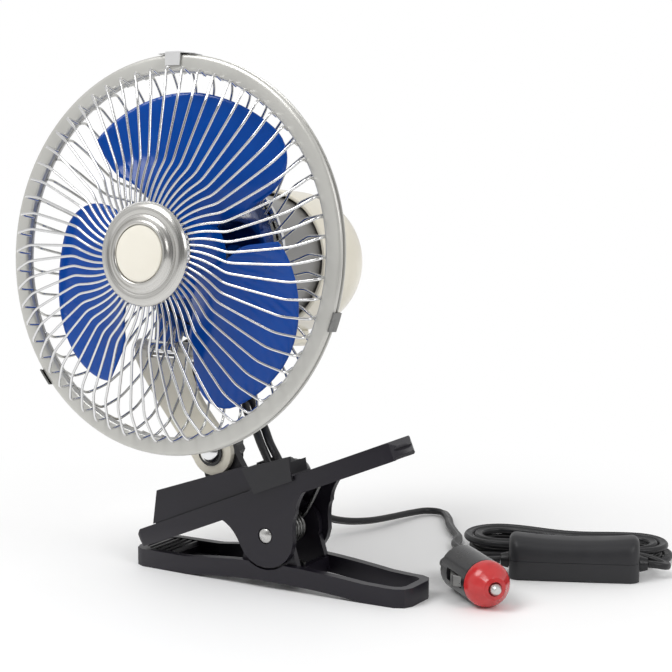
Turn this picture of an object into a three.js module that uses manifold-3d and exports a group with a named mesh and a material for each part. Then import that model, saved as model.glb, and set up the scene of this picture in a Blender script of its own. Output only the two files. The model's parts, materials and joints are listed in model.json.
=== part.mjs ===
// Clip fan, 12 V, 180 mm guard on a spring clamp, with its lead, in-line switch box and lighter-socket plug.
// Millimetres. Origin: middle of the flat foot under the jaw tip. +X runs along the clamp from the jaw tip to
// the grips, +Y goes away from the face of the fan, +Z is up. The clamp stands on Z = 0.
import * as THREE from "three";
import Module from "manifold-3d";
import { mergeVertices } from "three/addons/utils/BufferGeometryUtils.js";

const wasm = await Module();
wasm.setup();

const rad = THREE.MathUtils.degToRad;
const { sin, cos, PI, hypot, atan2, sqrt, abs, min, max } = Math;

// ---------------------------------------------------------------- driving dimensions
const gap = 0.3; // left between pieces that touch

// clamp pivot and lower jaw
const pivot = { x: 60, z: 24.7 };
const pin = { r: 2.2, headR: 3.3, headT: 1.6, nutR: 4 };
const lower = {
  tipX: -17, endX: 131, tipHalf: 15, pivotHalf: 17, endHalf: 13.2,
  cornerR: 6, railH: 8.5, arch: 3.5, footTo: 14, heelFrom: 113, wall: 4, floor: 2.6,
};
const cheek = { outer: 13.4, t: 3, r: 12 };
const ear = { t: 3.2, r: 15, clear: 0.45 };
const teeth = { count: 5, pitch: 3.4, h: 1.3 };

// upper jaw, in its own frame: a along the jaw from the pivot to the grip, b square to it
const upper = {
  incline: 22.6, tipA: -73.5, gripA: 75.5, top: 21.6, bottom: 13, tipHalf: 15, earHalf: 17, gripHalf: 11.5,
  plateT: 3, wall: 2.6,
};

// block on the upper jaw
const block = { leftA: -60.8, topLeftA: -52.3, topLeftB: 36.2, topRightA: -0.6, topRightB: 33, half: 15.2, slope: 20 };
const leadBox = { a0: 1, a1: 27.7, h: 10.2, y0: -19, y1: -5, wall: 1.7, skirt: 2.4 };

// arm between the block and the head
const arm = { y: -7.5, t: 3, tabR: 11, width: 20 };
const swing = { x: 24, z: 58, r: 2.4, headR: 5.2 };
const lug = { gap: 0.35, t: 4.2, r: 9.6 };
const knob = { r: 9.4, t: 7, flutes: 12 };
const nod = { y: -3.2, z: 104, r: 3.7, pinR: 1.7, x0: -19.5, x1: 10.5, lugW: 7 };

// head, in its own frame: x to the side, s back along the motor axis from the rim plane, v up
const head = { x: 17.9, y: -28, z: 151.3, tilt: 6.6 };
const rim = { r1: 90.2, w: 8.2, t: 2.4 };
const rimInner = rim.r1 - rim.w;
const guardWire = { r: 0.9, front: 60, rear: 48 };
const backRing = { r0: 33.5, r1: 37.5, s: 27.6, t: 2.4 };
const cap = { r: 24, s: -21.2, grooveR: 17.6, bossR: 14.6, badgeR: 12.5, plateR: 26.5 };
const clipAngles = [92, -18, -138];
const rimClip = { w: 13, t: 1.1, reach: 3.3 };
const bracket = { r: 40, s: 31, t: 2 };
const housing = { r: 35, s: 76, shoulder: 101, end: 133, wall: 2.2 };
const motor = { r: housing.r - housing.wall - 1.3, wall: 1.6, bellS: 7, canEnd: 92, shaftR: 2.5, bushR: 5 };
const impeller = {
  hubR: 20, hubS0: -12, hubS1: 14, wall: 2, tipR: 74, bladeT: 1.7, count: 3, start: 8, sweep: 89, s0: -9.5, s1: 15,
};

// lead, box and plug on the table
const cordR = 2.2;
const boxDim = { x: 172, y: 74.5, yaw: 24, l: 60, d: 22, h: 20.6, seam: 9, relief: 4 };
const hank = { x: 153.5, y: 109.5, yaw: 16, half: 50, foldR: 8, turns: 4, waist: 5.2, z: 2.3, climb: 4.95 };
const plug = { x: 146.6, y: 19.9, yaw: -40.3, r: 10.4, barrel: 28.5, nose: 11, tailLen: 8, pinR: 2.6, pinOut: 2.6 };

// ---------------------------------------------------------------- colours
const paint = (color, roughness, metalness = 0) => ({ color, roughness, metalness });
const looks = {
  black: paint(0x2e2d30, 0.55), darkGloss: paint(0x1b1b1e, 0.25), cream: paint(0xe4dfce, 0.4),
  blue: paint(0x1a46a5, 0.25), chrome: paint(0xc9c9c6, 0.18, 1), steel: paint(0x9a9894, 0.35, 1),
  grey: paint(0x8d8a86, 0.45, 0.6), brass: paint(0xc9a85a, 0.3, 1), copper: paint(0xa9673a, 0.4, 1),
  red: paint(0xd43c3c, 0.25), lead: paint(0x222224, 0.5), magnet: paint(0x3a3a3c, 0.8), ivory: paint(0xf0ead8, 0.3),
  glass: paint(0xd9e2e4, 0.1),
};

// ---------------------------------------------------------------- solids
function toSolid(geometry) {
  const bare = geometry.clone();
  for (const name of Object.keys(bare.attributes)) if (name !== "position") bare.deleteAttribute(name);
  const merged = mergeVertices(bare, 1e-4);
  const index = merged.index.array;
  const keep = [];
  for (let i = 0; i < index.length; i += 3) {
    const [p, q, r] = [index[i], index[i + 1], index[i + 2]];
    if (p !== q && q !== r && r !== p) keep.push(p, q, r);
  }
  const mesh = new wasm.Mesh({
    numProp: 3,
    vertProperties: new Float32Array(merged.attributes.position.array),
    triVerts: new Uint32Array(keep),
  });
  return new wasm.Manifold(mesh);
}

function toGeometry(solid) {
  const mesh = solid.getMesh();
  const geometry = new THREE.BufferGeometry();
  geometry.setAttribute("position", new THREE.BufferAttribute(new Float32Array(mesh.vertProperties), 3));
  geometry.setIndex(new THREE.BufferAttribute(new Uint32Array(mesh.triVerts), 1));
  const flat = geometry.toNonIndexed();
  flat.computeVertexNormals();
  return flat;
}

const join = (...solids) => solids.reduce((whole, next) => whole.add(next));
const cut = (whole, ...tools) => tools.reduce((rest, tool) => rest.subtract(tool), whole);

function brick(x0, x1, y0, y1, z0, z1) {
  const geometry = new THREE.BoxGeometry(x1 - x0, y1 - y0, z1 - z0);
  return toSolid(geometry.translate((x0 + x1) / 2, (y0 + y1) / 2, (z0 + z1) / 2));
}

function rod(axis, r, from, to, centre = [0, 0, 0], sides = 24) {
  const geometry = new THREE.CylinderGeometry(r, r, to - from, sides).translate(0, (from + to) / 2, 0);
  if (axis === "x") geometry.rotateZ(-PI / 2);
  if (axis === "z") geometry.rotateX(PI / 2);
  return toSolid(geometry.translate(...centre));
}

// Outline in X and Z, drawn out along Y.
function sidePlate(shape, y0, y1, curveSegments = 8) {
  const geometry = new THREE.ExtrudeGeometry(shape, { depth: y1 - y0, bevelEnabled: false, curveSegments });
  return toSolid(geometry.rotateX(PI / 2).translate(0, y1, 0));
}

// Outline in X and Y, drawn up along Z.
function floorPlate(shape, z0, z1, curveSegments = 6) {
  const geometry = new THREE.ExtrudeGeometry(shape, { depth: z1 - z0, bevelEnabled: false, curveSegments });
  return toSolid(geometry.translate(0, 0, z0));
}

// Outline in Y and Z, drawn out along X.
function crossPlate(shape, x0, x1, curveSegments = 6) {
  const geometry = new THREE.ExtrudeGeometry(shape, { depth: x1 - x0, bevelEnabled: false, curveSegments });
  return toSolid(geometry.rotateY(PI / 2).rotateX(PI / 2).translate(x0, 0, 0));
}

const outline = (points) => new THREE.Shape(points.map(([x, y]) => new THREE.Vector2(x, y)));

// Profile of [radius, height] pairs turned about Y.
function turned(profile, sides = 40) {
  return toSolid(new THREE.LatheGeometry(profile.map(([r, y]) => new THREE.Vector2(r, y)), sides));
}

// A rounded rectangle with its middle at (x, y).
function roundedRect(x, y, w, h, r) {
  const shape = new THREE.Shape();
  shape.moveTo(x - w / 2 + r, y - h / 2);
  shape.lineTo(x + w / 2 - r, y - h / 2).absarc(x + w / 2 - r, y - h / 2 + r, r, -PI / 2, 0, false);
  shape.lineTo(x + w / 2, y + h / 2 - r).absarc(x + w / 2 - r, y + h / 2 - r, r, 0, PI / 2, false);
  shape.lineTo(x - w / 2 + r, y + h / 2).absarc(x - w / 2 + r, y + h / 2 - r, r, PI / 2, PI, false);
  shape.lineTo(x - w / 2, y - h / 2 + r).absarc(x - w / 2 + r, y - h / 2 + r, r, PI, 1.5 * PI, false);
  return shape;
}

// A closed tube through the given points, with its frame carried along without twist.
function tubeGeometry(points, r, sides) {
  const n = points.length;
  const tangent = (i) => points[min(i + 1, n - 1)].clone().sub(points[max(i - 1, 0)]).normalize();
  const positions = [];
  const index = [];
  let across = new THREE.Vector3(0, 0, 1);
  if (abs(tangent(0).z) > 0.9) across.set(1, 0, 0);
  for (let i = 0; i < n; i++) {
    const t = tangent(i);
    across.addScaledVector(t, -across.dot(t)).normalize();
    const side = new THREE.Vector3().crossVectors(t, across);
    for (let k = 0; k < sides; k++) {
      const angle = (2 * PI * k) / sides;
      const p = points[i].clone().addScaledVector(across, r * cos(angle)).addScaledVector(side, r * sin(angle));
      positions.push(p.x, p.y, p.z);
    }
  }
  for (let i = 0; i + 1 < n; i++) {
    for (let k = 0; k < sides; k++) {
      const [p, q] = [i * sides + k, i * sides + ((k + 1) % sides)];
      index.push(p, q, q + sides, p, q + sides, p + sides);
    }
  }
  for (let k = 1; k + 1 < sides; k++) {
    index.push(0, k + 1, k);
    const last = (n - 1) * sides;
    index.push(last, last + k, last + k + 1);
  }
  const geometry = new THREE.BufferGeometry();
  geometry.setAttribute("position", new THREE.Float32BufferAttribute(positions, 3));
  geometry.setIndex(index);
  return geometry;
}

const vec = (x, y, z) => new THREE.Vector3(x, y, z);
const tube = (points, r, sides) => toSolid(tubeGeometry(points, r, sides));
const smooth = (points, steps) => new THREE.CatmullRomCurve3(points, false, "centripetal").getSpacedPoints(steps);

// ---------------------------------------------------------------- scene graph
const clipFan = new THREE.Group();
const jawFrame = new THREE.Group(); // a, y, b of the upper jaw
jawFrame.position.set(pivot.x, 0, pivot.z);
jawFrame.rotation.y = -rad(upper.incline);
const headFrame = new THREE.Group(); // x, s, v of the head
headFrame.position.set(head.x, head.y, head.z);
headFrame.rotation.x = -rad(head.tilt);
const boxFrame = new THREE.Group();
boxFrame.position.set(boxDim.x, boxDim.y, 0);
boxFrame.rotation.z = rad(boxDim.yaw);
const plugFrame = new THREE.Group();
plugFrame.position.set(plug.x, plug.y, plug.r + 0.05);
plugFrame.rotation.z = rad(plug.yaw);
clipFan.add(jawFrame, headFrame, boxFrame, plugFrame);

function place(parent, name, solid, look) {
  const material = new THREE.MeshStandardMaterial(looks[look]);
  const mesh = new THREE.Mesh(toGeometry(solid), material);
  mesh.name = name;
  parent.add(mesh);
}

// ---------------------------------------------------------------- clamp
const archAt = (x) => {
  if (x < lower.footTo) return 0;
  if (x > lower.heelFrom) return 0;
  const t = x < pivot.x ? (x - lower.footTo) / (pivot.x - lower.footTo) : (lower.heelFrom - x) / (lower.heelFrom - pivot.x);
  return lower.arch * sin((t * PI) / 2);
};

// Plan of the lower frame, drawn in by inset on every side.
function lowerPlan(inset, fromX, toX) {
  const half = (x) => {
    const share = x < pivot.x ? (pivot.x - x) / (pivot.x - lower.tipX) : (x - pivot.x) / (lower.endX - pivot.x);
    const far = x < pivot.x ? lower.tipHalf : lower.endHalf;
    return lower.pivotHalf + (far - lower.pivotHalf) * share - inset;
  };
  const r = lower.cornerR - inset * 0.6;
  const right = [[toX - r, half(toX - r)], [toX - r * 0.3, half(toX) - r * 0.3], [toX, half(toX) - r]];
  const left = [[fromX, half(fromX) - r], [fromX + r * 0.3, half(fromX) - r * 0.3], [fromX + r, half(fromX + r)]];
  const top = [...left, [min(max(pivot.x, fromX + r), toX - r), half(min(max(pivot.x, fromX + r), toX - r))], ...right];
  const bottom = top.map(([x, y]) => [x, -y]).reverse();
  return outline([...top, ...bottom].reverse());
}

// Side outline between the arched underside raised by low and raised by high.
function archBand(low, high, fromX, toX) {
  const steps = 14;
  const xs = Array.from({ length: steps + 1 }, (_, i) => fromX + ((toX - fromX) * i) / steps);
  const under = xs.map((x) => [x, archAt(x) + low]);
  const over = xs.map((x) => [x, archAt(x) + high]).reverse();
  return outline([...under, ...over]);
}

function lowerJaw() {
  const wide = 2 * lower.pivotHalf;
  const { tipX, endX, wall } = lower;
  const frame = floorPlate(lowerPlan(0, tipX, endX), -1, 30).intersect(
    sidePlate(archBand(0, lower.railH, tipX, endX), -wide, wide));
  const well = floorPlate(lowerPlan(wall, tipX + wall, endX - wall), -2, 40);
  const floor = floorPlate(lowerPlan(wall - 0.5, tipX + wall - 0.5, lower.footTo + 2), -1, 30).intersect(
    sidePlate(archBand(0, 1.2 + lower.floor, tipX, lower.footTo + 6), -wide, wide));
  const webs = [pivot.x - 17, pivot.x + 13].map((x) =>
    brick(x, x + 3.4, -lower.pivotHalf + 2, lower.pivotHalf - 2, archAt(x) + 0.6, archAt(x) + lower.railH - 1));
  let body = join(cut(frame, well), floor, ...webs);
  // relief for the ears of the upper jaw
  const relief = [-1, 1].map((side) => {
    const [near, far] = side < 0 ? [-20, -cheek.outer - 0.05] : [cheek.outer + 0.05, 20];
    return rod("y", ear.r + 0.9, near, far, [pivot.x, 0, pivot.z], 36);
  });
  body = cut(body, ...relief);
  // cheeks that carry the pivot pin
  const profile = new THREE.Shape();
  profile.moveTo(pivot.x - 17, archAt(pivot.x) + 1.5);
  profile.lineTo(pivot.x + 17, archAt(pivot.x) + 1.5);
  profile.lineTo(pivot.x + cheek.r, pivot.z - 4);
  profile.absarc(pivot.x, pivot.z, cheek.r, -0.3, PI + 0.3, false);
  profile.lineTo(pivot.x - cheek.r, pivot.z - 4);
  for (const side of [-1, 1]) {
    const y0 = side < 0 ? -cheek.outer : cheek.outer - cheek.t;
    body = join(body, sidePlate(profile, y0, y0 + cheek.t));
  }
  body = cut(body, rod("y", pin.r + gap, -20, 20, [pivot.x, 0, pivot.z]));
  // gripping teeth across the jaw tip
  const ridge = (x) => outline([[x - 1.5, lower.railH - 3], [x + 1.5, lower.railH - 3], [x + 0.6, lower.railH - 0.2],
    [x - 0.6, lower.railH - 0.2]]);
  const padEnd = tipX + 5.5 + (teeth.count - 1) * teeth.pitch + 2;
  body = join(body, brick(tipX + wall - 0.5, padEnd, -lower.tipHalf + 2, lower.tipHalf - 2, 0.4, lower.railH - 2));
  for (let i = 0; i < teeth.count; i++) {
    body = join(body, sidePlate(ridge(tipX + 5.5 + i * teeth.pitch), -lower.tipHalf + 2, lower.tipHalf - 2));
  }
  return body;
}
place(clipFan, "lower_jaw", lowerJaw(), "black");

function upperPlan(inset) {
  const { tipA, gripA, tipHalf, earHalf, gripHalf } = upper;
  const side = [[tipA + inset, tipHalf - 3.4], [tipA + inset + 0.9, tipHalf - 1.3 - inset], [tipA + 3.2 + inset * 0.4, tipHalf - inset],
    [-24, earHalf - inset], [27, earHalf - inset], [gripA - 6, gripHalf - inset], [gripA - 2 - inset * 0.5, gripHalf - 1.8 - inset],
    [gripA - inset, gripHalf - 6]];
  return outline([...side.map(([a, y]) => [a, -y]), ...side.reverse()]);
}

function upperJaw() {
  const { tipA, gripA, top, bottom, plateT, wall, earHalf } = upper;
  const full = 2 * earHalf;
  const side = new THREE.Shape();
  side.moveTo(tipA + 2.2, bottom + 0.4).lineTo(tipA + 12, bottom).lineTo(gripA - 3, bottom);
  side.lineTo(gripA - 0.6, bottom + 1.6).lineTo(gripA, bottom + 3.4).lineTo(gripA - 1.4, bottom + 4.4);
  side.lineTo(gripA - 0.4, top - 2.6).lineTo(gripA - 2.6, top).lineTo(tipA + 4, top).lineTo(tipA, top - 2.4);
  const channel = floorPlate(upperPlan(0), -10, 40).intersect(sidePlate(side, -full, full));
  const hollow = floorPlate(upperPlan(wall), bottom - 5, top - plateT);
  const tipFill = brick(tipA + 3, tipA + 16, -upper.tipHalf + 1.2, upper.tipHalf - 1.2, bottom + 1.2, top - 1);
  const gripFill = brick(gripA - 22, gripA - 3, -upper.gripHalf + 1.5, upper.gripHalf - 1.5, bottom + 2, top - 1);
  let body = join(cut(channel, hollow), tipFill, gripFill);
  // thumb ridge under the grip
  body = join(body, rod("y", 2.2, -upper.gripHalf + 2, upper.gripHalf - 2, [gripA - 12, 0, bottom + 0.9], 12));
  // ears down to the pivot pin, with the round cut-out in front of them
  const profile = new THREE.Shape();
  profile.moveTo(-21, bottom + 1);
  profile.quadraticCurveTo(-15.5, 9, -ear.r, 0);
  profile.absarc(0, 0, ear.r, PI, 1.93 * PI, false);
  profile.quadraticCurveTo(17, 3.5, 19.5, 5);
  profile.quadraticCurveTo(21, 9.5, 28.5, bottom + 1);
  for (const s of [-1, 1]) {
    const y0 = s < 0 ? -earHalf : earHalf - ear.t;
    body = join(body, sidePlate(profile, y0, y0 + ear.t, 5));
  }
  const recess = [-1, 1].map((s) => rod("y", pin.headR + 0.5, s < 0 ? -20 : earHalf - 0.9, s < 0 ? -earHalf + 0.9 : 20, [0, 0, 0], 20));
  body = cut(body, rod("y", pin.r + gap, -20, 20), ...recess);
  // way through the plate for the leads
  const { a0, a1, y0, y1 } = leadBox;
  return cut(body, brick(a0 + 4, a1 - 4, y0 + 4, y1 - 3, top - 6, top + 2));
}
place(jawFrame, "upper_jaw", upperJaw(), "black");

function pivotPin() {
  const outerY = upper.earHalf;
  const shank = rod("y", pin.r, -outerY + 0.5, outerY + 2.6, [pivot.x, 0, pivot.z]);
  const headDome = turned([[0, -outerY - 1], [1.8, -outerY - 0.8], [pin.headR, -outerY + 0.1], [pin.headR, -outerY + 0.55],
    [0, -outerY + 0.55]], 24).translate([pivot.x, 0, pivot.z]);
  return join(shank, headDome);
}
place(clipFan, "pivot_pin", pivotPin(), "chrome");

function nutOn(r, bore, from, to, centre, axis = "y") {
  return cut(rod(axis, r, from, to, centre, 6), rod(axis, bore, from - 1, to + 1, centre));
}
place(clipFan, "pivot_nut", nutOn(pin.headR + 0.1, pin.r + 0.15, upper.earHalf - 0.6, upper.earHalf + 2, [pivot.x, 0, pivot.z]),
  "steel");

// Points of the tilted jaw and of the head, in the frame of the whole.
const headPoint = (x, s, v) => {
  const t = rad(head.tilt);
  return vec(head.x + x, head.y + s * cos(t) + v * sin(t), head.z - s * sin(t) + v * cos(t));
};
const jawPoint = (a, y, b) => {
  const t = rad(upper.incline);
  return vec(pivot.x + a * cos(t) - b * sin(t), y, pivot.z + a * sin(t) + b * cos(t));
};

// Torsion spring round the pin: one leg under the upper plate, one on the lower web.
const springWire = { r: 0.95, coilR: 6.6, turns: 6, pitch: 2.4 };
function springPath() {
  const { coilR, turns, pitch } = springWire;
  const points = [];
  const start = rad(214);
  const total = turns * 2 * PI + rad(168);
  const steps = Math.round((total / (2 * PI)) * 10);
  const y0 = -(pitch * total) / (4 * PI);
  const at = (i) => {
    const angle = start - (total * i) / steps;
    return vec(pivot.x + coilR * cos(angle), y0 + (pitch * total * i) / (2 * PI * steps), pivot.z + coilR * sin(angle));
  };
  const first = at(0);
  const last = at(steps);
  const webTop = archAt(pivot.x + 15) + lower.railH - 1 + springWire.r + gap;
  points.push(vec(pivot.x + 15.5, y0, webTop), vec(pivot.x + 5, y0, webTop + 1.6), first.clone().add(vec(4.2, 0, -5)));
  for (let i = 0; i <= steps; i++) points.push(at(i));
  points.push(last.clone().add(vec(3.4, 0, 4.6)), jawPoint(25, last.y, upper.top - upper.plateT - springWire.r - gap));
  return points;
}
function leastSelfGap(points, r, skip) {
  let least = Infinity;
  for (let i = 0; i < points.length; i++) {
    for (let j = i + skip; j < points.length; j++) least = min(least, points[i].distanceTo(points[j]) - 2 * r);
  }
  return least;
}
const springPoints = springPath();
console.log("torsion spring least self gap", leastSelfGap(springPoints.slice(3, -2), springWire.r, 7).toFixed(2));
place(clipFan, "torsion_spring", tube(springPoints, springWire.r, 5), "steel");

// ---------------------------------------------------------------- block and lead box on the upper jaw
const swingLocal = (() => {
  const [dx, dz] = [swing.x - pivot.x, swing.z - pivot.z];
  const t = rad(upper.incline);
  return { a: dx * cos(t) + dz * sin(t), b: -dx * sin(t) + dz * cos(t) };
})();
const lugY = arm.y + arm.t + lug.gap;

function mountBlock() {
  const { leftA, topLeftA, topLeftB, topRightA, topRightB, half, slope } = block;
  const base = upper.top + gap;
  const side = outline([[leftA, base], [leadBox.a1, base], [leadBox.a1, base + 4], [leadBox.a0 - gap, base + 4],
    [leadBox.a0 - gap, topRightB - 0.6], [topRightA, topRightB], [topLeftA, topLeftB]]);
  let body = sidePlate(side, -half, half);
  // roof that falls towards the back
  const drop = 60;
  const roof = new THREE.BoxGeometry(140, 80, drop).translate(0, 40, drop / 2);
  roof.rotateX(-rad(slope)).translate(0, -half + 2.2, 0);
  roof.rotateY(atan2(topLeftB - topRightB, topRightA - topLeftA)).translate(topRightA, 0, topRightB - 0.6);
  body = cut(body, toSolid(roof));
  // lug behind the tab
  const { a, b } = swingLocal;
  const lugSide = new THREE.Shape();
  lugSide.moveTo(a - lug.r - 1.5, base + 3).lineTo(a + lug.r + 3.5, base + 3).lineTo(a + lug.r * 0.92, b + 3.6);
  lugSide.absarc(a, b, lug.r, 0.4, PI - 0.1, false);
  body = join(body, sidePlate(lugSide, lugY, lugY + lug.t));
  body = cut(body, rod("y", swing.r + gap, lugY - 1, lugY + lug.t + 1, [a, 0, b]));
  // room for the tab and for the lead box
  body = cut(body, rod("y", arm.tabR + 1.2, arm.y - 0.6, lugY, [a, 0, b], 36));
  body = cut(body, brick(leadBox.a0 - gap, leadBox.a1 + 1, -half - 1, leadBox.y1 + gap, base - 1, base + 6));
  return body;
}
place(jawFrame, "mount_block", mountBlock(), "black");

// Pocket for the leads: its near wall hangs over the edge of the jaw, and a hood stands behind on the left.
function leadBoxShell() {
  const { a0, a1, y0, y1, h, wall, skirt } = leadBox;
  const base = upper.top + gap;
  const shell = sidePlate(outline([[a0 + 1.7, base], [a1 - 2.1, base], [a1, base + h - 2], [a0, base + h]]), y0, y1);
  const apron = sidePlate(outline([[a0 + 2.1, base - skirt], [a1 - 2.5, base - skirt], [a1 - 2, base + 0.5], [a0 + 1.6, base + 0.5]]),
    y0, y0 + wall);
  const hood = brick(a0 + 0.3, a0 + 12.5, y1 - wall, y1, base + 2, base + h + 0.6);
  const low = brick(a0 + 12.5, a1 + 1, y0 + wall, y1 + 1, base + h - 4.5, base + h + 5);
  const well = brick(a0 + wall + 0.8, a1 - wall - 1, y0 + wall, y1 - wall, base + wall, base + h + 4);
  return cut(join(cut(shell, low), apron, hood), well);
}
place(jawFrame, "lead_box", leadBoxShell(), "black");

// ---------------------------------------------------------------- arm
// Cream strip: a round tab at the swing screw, a sweep up to the side and two lugs for the nod pin.
function armStrip() {
  const shape = new THREE.Shape();
  const { x, z } = swing;
  shape.absarc(x, z, arm.tabR, rad(205), rad(390), false);
  shape.bezierCurveTo(x - 4, z + 20, x - 13, z + 30, nod.x1, nod.z - 2);
  shape.lineTo(nod.x1, nod.z - 0.5).lineTo(nod.x0, nod.z - 0.5).lineTo(nod.x0, nod.z - 5);
  shape.bezierCurveTo(nod.x0 + 7, nod.z - 19, nod.x0 + 15, nod.z - 27, x - arm.tabR * 0.906, z - arm.tabR * 0.423);
  let body = sidePlate(shape, arm.y, arm.y + arm.t, 9);
  // raised edge along both sides makes the strip stiff
  const bandTop = brick(nod.x0, nod.x1, arm.y, nod.y + 0.4, nod.z - 5, nod.z - nod.r + 1.2);
  body = join(body, bandTop);
  for (const [x0, x1] of [[nod.x0, nod.x0 + nod.lugW], [nod.x1 - nod.lugW, nod.x1]]) {
    body = join(body, rod("x", nod.r, x0, x1, [0, nod.y, nod.z]),
      brick(x0, x1, arm.y, nod.y, nod.z - nod.r, nod.z - 0.5));
  }
  const middle = brick(nod.x0 + nod.lugW, nod.x1 - nod.lugW, arm.y - 1, nod.y + 9, nod.z - nod.r - 0.6, nod.z + 9);
  const cutMid = join(middle, rod("x", nod.r + 0.5, nod.x0 + nod.lugW, nod.x1 - nod.lugW, [0, nod.y, nod.z]));
  body = cut(body, cutMid, rod("x", nod.pinR + 0.25, nod.x0 - 1, nod.x1 + 1, [0, nod.y, nod.z]),
    rod("y", swing.r + gap, arm.y - 1, arm.y + arm.t + 1, [x, 0, z]));
  return body;
}
place(clipFan, "arm", armStrip(), "cream");

function swingScrew() {
  const y = arm.y - gap - 1.2;
  const dome = turned([[0, y - 2.6], [2.6, y - 2.3], [4.4, y - 1.2], [swing.headR, y], [0, y]], 28)
    .translate([swing.x, 0, swing.z]);
  return join(dome, rod("y", swing.r, y - 0.1, lugY + lug.t + gap + knob.t - 1.5, [swing.x, 0, swing.z]));
}
place(clipFan, "swing_screw", swingScrew(), "chrome");

const washer = cut(rod("y", swing.headR + 1.4, arm.y - gap - 0.95, arm.y - gap, [swing.x, 0, swing.z], 28),
  rod("y", swing.r + 0.2, arm.y - 3, arm.y + 1, [swing.x, 0, swing.z]));
place(clipFan, "swing_washer", washer, "darkGloss");

function swingKnob() {
  const y0 = lugY + lug.t + gap;
  const shape = new THREE.Shape();
  const steps = knob.flutes * 4;
  for (let i = 0; i < steps; i++) {
    const angle = (2 * PI * i) / steps;
    const r = knob.r - 0.45 + 0.45 * cos(angle * knob.flutes);
    if (i === 0) shape.moveTo(r, 0);
    else shape.lineTo(r * cos(angle), r * sin(angle));
  }
  const grip = sidePlate(shape, y0, y0 + knob.t).translate([swing.x, 0, swing.z]);
  return cut(grip, rod("y", swing.r + 0.2, y0 - 1, y0 + knob.t - 1, [swing.x, 0, swing.z]));
}
place(clipFan, "swing_knob", swingKnob(), "darkGloss");

function nodPin() {
  const centre = [0, nod.y, nod.z];
  const shank = rod("x", nod.pinR, nod.x0 - gap - 0.1, nod.x1 + gap + 2.4, centre, 16);
  return join(shank, rod("x", 3.2, nod.x0 - gap - 1.8, nod.x0 - gap, centre, 20));
}
place(clipFan, "nod_pin", nodPin(), "chrome");
place(clipFan, "nod_nut", nutOn(3.2, nod.pinR + 0.15, nod.x1 + gap, nod.x1 + gap + 2.2, [0, nod.y, nod.z], "x"), "steel");

// ---------------------------------------------------------------- head: bracket and motor
// Where the nod pin lies in the head frame.
const nodInHead = (() => {
  const t = rad(head.tilt);
  const [dy, dz] = [nod.y - head.y, nod.z - head.z];
  return { s: dy * cos(t) - dz * sin(t), v: dy * sin(t) + dz * cos(t) };
})();

function motorBracket() {
  const { r, s, t } = bracket;
  const x0 = nod.x0 + nod.lugW + 0.4 - head.x;
  const x1 = nod.x1 - nod.lugW - 0.4 - head.x;
  const disc = rod("y", r, s, s + t, [0, 0, 0], 48);
  const tongue = brick(x0, x1, s, s + t, nodInHead.v, -20);
  const barrel = rod("x", nod.r, x0, x1, [0, nodInHead.s, nodInHead.v], 20);
  const curl = brick(x0, x1, nodInHead.s, s + t, nodInHead.v - 0.5, nodInHead.v + nod.r - 0.4);
  const body = join(disc, tongue, barrel, curl);
  const screws = [90, 210, 330].map((angle) =>
    rod("y", 1.6, s - 1, s + t + 1, [16 * cos(rad(angle)), 0, 16 * sin(rad(angle))], 12));
  return cut(body, rod("y", 9.5, s - 1, s + t + 1, [0, 0, 0], 32), rod("x", nod.pinR + 0.25, x0 - 1, x1 + 1,
    [0, nodInHead.s, nodInHead.v], 16), ...screws);
}
place(headFrame, "motor_bracket", motorBracket(), "chrome");

const bellStart = bracket.s + bracket.t + gap;
const canStart = bellStart + motor.bellS;
function frontBell() {
  const s = bellStart;
  const { r, bellS, bushR } = motor;
  const cup = turned([[bushR + gap, s], [r - 2, s], [r, s + 2], [r, s + bellS], [r - 4, s + bellS],
    [r - 4, s + 2.4], [bushR + 3, s + 2.4], [bushR + 3, s + 5], [bushR + gap, s + 5], [bushR + gap, s]], 36);
  return cup;
}
place(headFrame, "motor_front_bell", frontBell(), "darkGloss");

function motorCan() {
  const s = canStart + gap;
  const { r, wall, canEnd, bushR } = motor;
  return turned([[r - wall, s], [r, s], [r, canEnd - 1.5], [r - 1.5, canEnd], [bushR + gap, canEnd],
    [bushR + gap, canEnd - wall], [r - wall, canEnd - wall], [r - wall, s]], 36);
}
place(headFrame, "motor_can", motorCan(), "grey");

const bush = (from, to) => turned([[motor.shaftR + 0.3, from], [motor.bushR, from], [motor.bushR, to],
  [motor.shaftR + 0.3, to], [motor.shaftR + 0.3, from]], 20);
place(headFrame, "front_bush", bush(bellStart, bellStart + 5), "brass");
place(headFrame, "rear_bush", bush(motor.canEnd - 3.5, motor.canEnd + 0.5), "brass");

function magnet(side) {
  const [r0, r1] = [motor.r - 7, motor.r - motor.wall - gap];
  const ring = cut(rod("y", r1, canStart + 6, motor.canEnd - 12, [0, 0, 0], 40),
    rod("y", r0, canStart + 5, motor.canEnd - 11, [0, 0, 0], 40));
  return ring.intersect(side < 0 ? brick(-40, -9, 0, 200, -40, 40) : brick(9, 40, 0, 200, -40, 40));
}
place(headFrame, "magnet_left", magnet(-1), "magnet");
place(headFrame, "magnet_right", magnet(1), "magnet");

function armature() {
  const [s0, s1] = [canStart + 8, motor.canEnd - 14];
  const core = rod("y", motor.r - 9, s0, s1, [0, 0, 0], 36);
  const slots = Array.from({ length: 5 }, (_, i) => {
    const angle = (2 * PI * i) / 5;
    return brick(12, 26, s0 - 1, s1 + 1, -1.4, 1.4).rotate([0, -(angle * 180) / PI, 0]);
  });
  const commutator = rod("y", 7, s1 - 0.5, s1 + 9, [0, 0, 0], 20);
  return cut(join(core, commutator), ...slots, rod("y", motor.shaftR + gap, s0 - 1, s1 + 10));
}
place(headFrame, "armature", armature(), "copper");

const shaftFrom = impeller.hubS0 + 1.5;
place(headFrame, "motor_shaft", rod("y", motor.shaftR, shaftFrom, motor.canEnd + 2, [0, 0, 0], 16), "steel");

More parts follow.
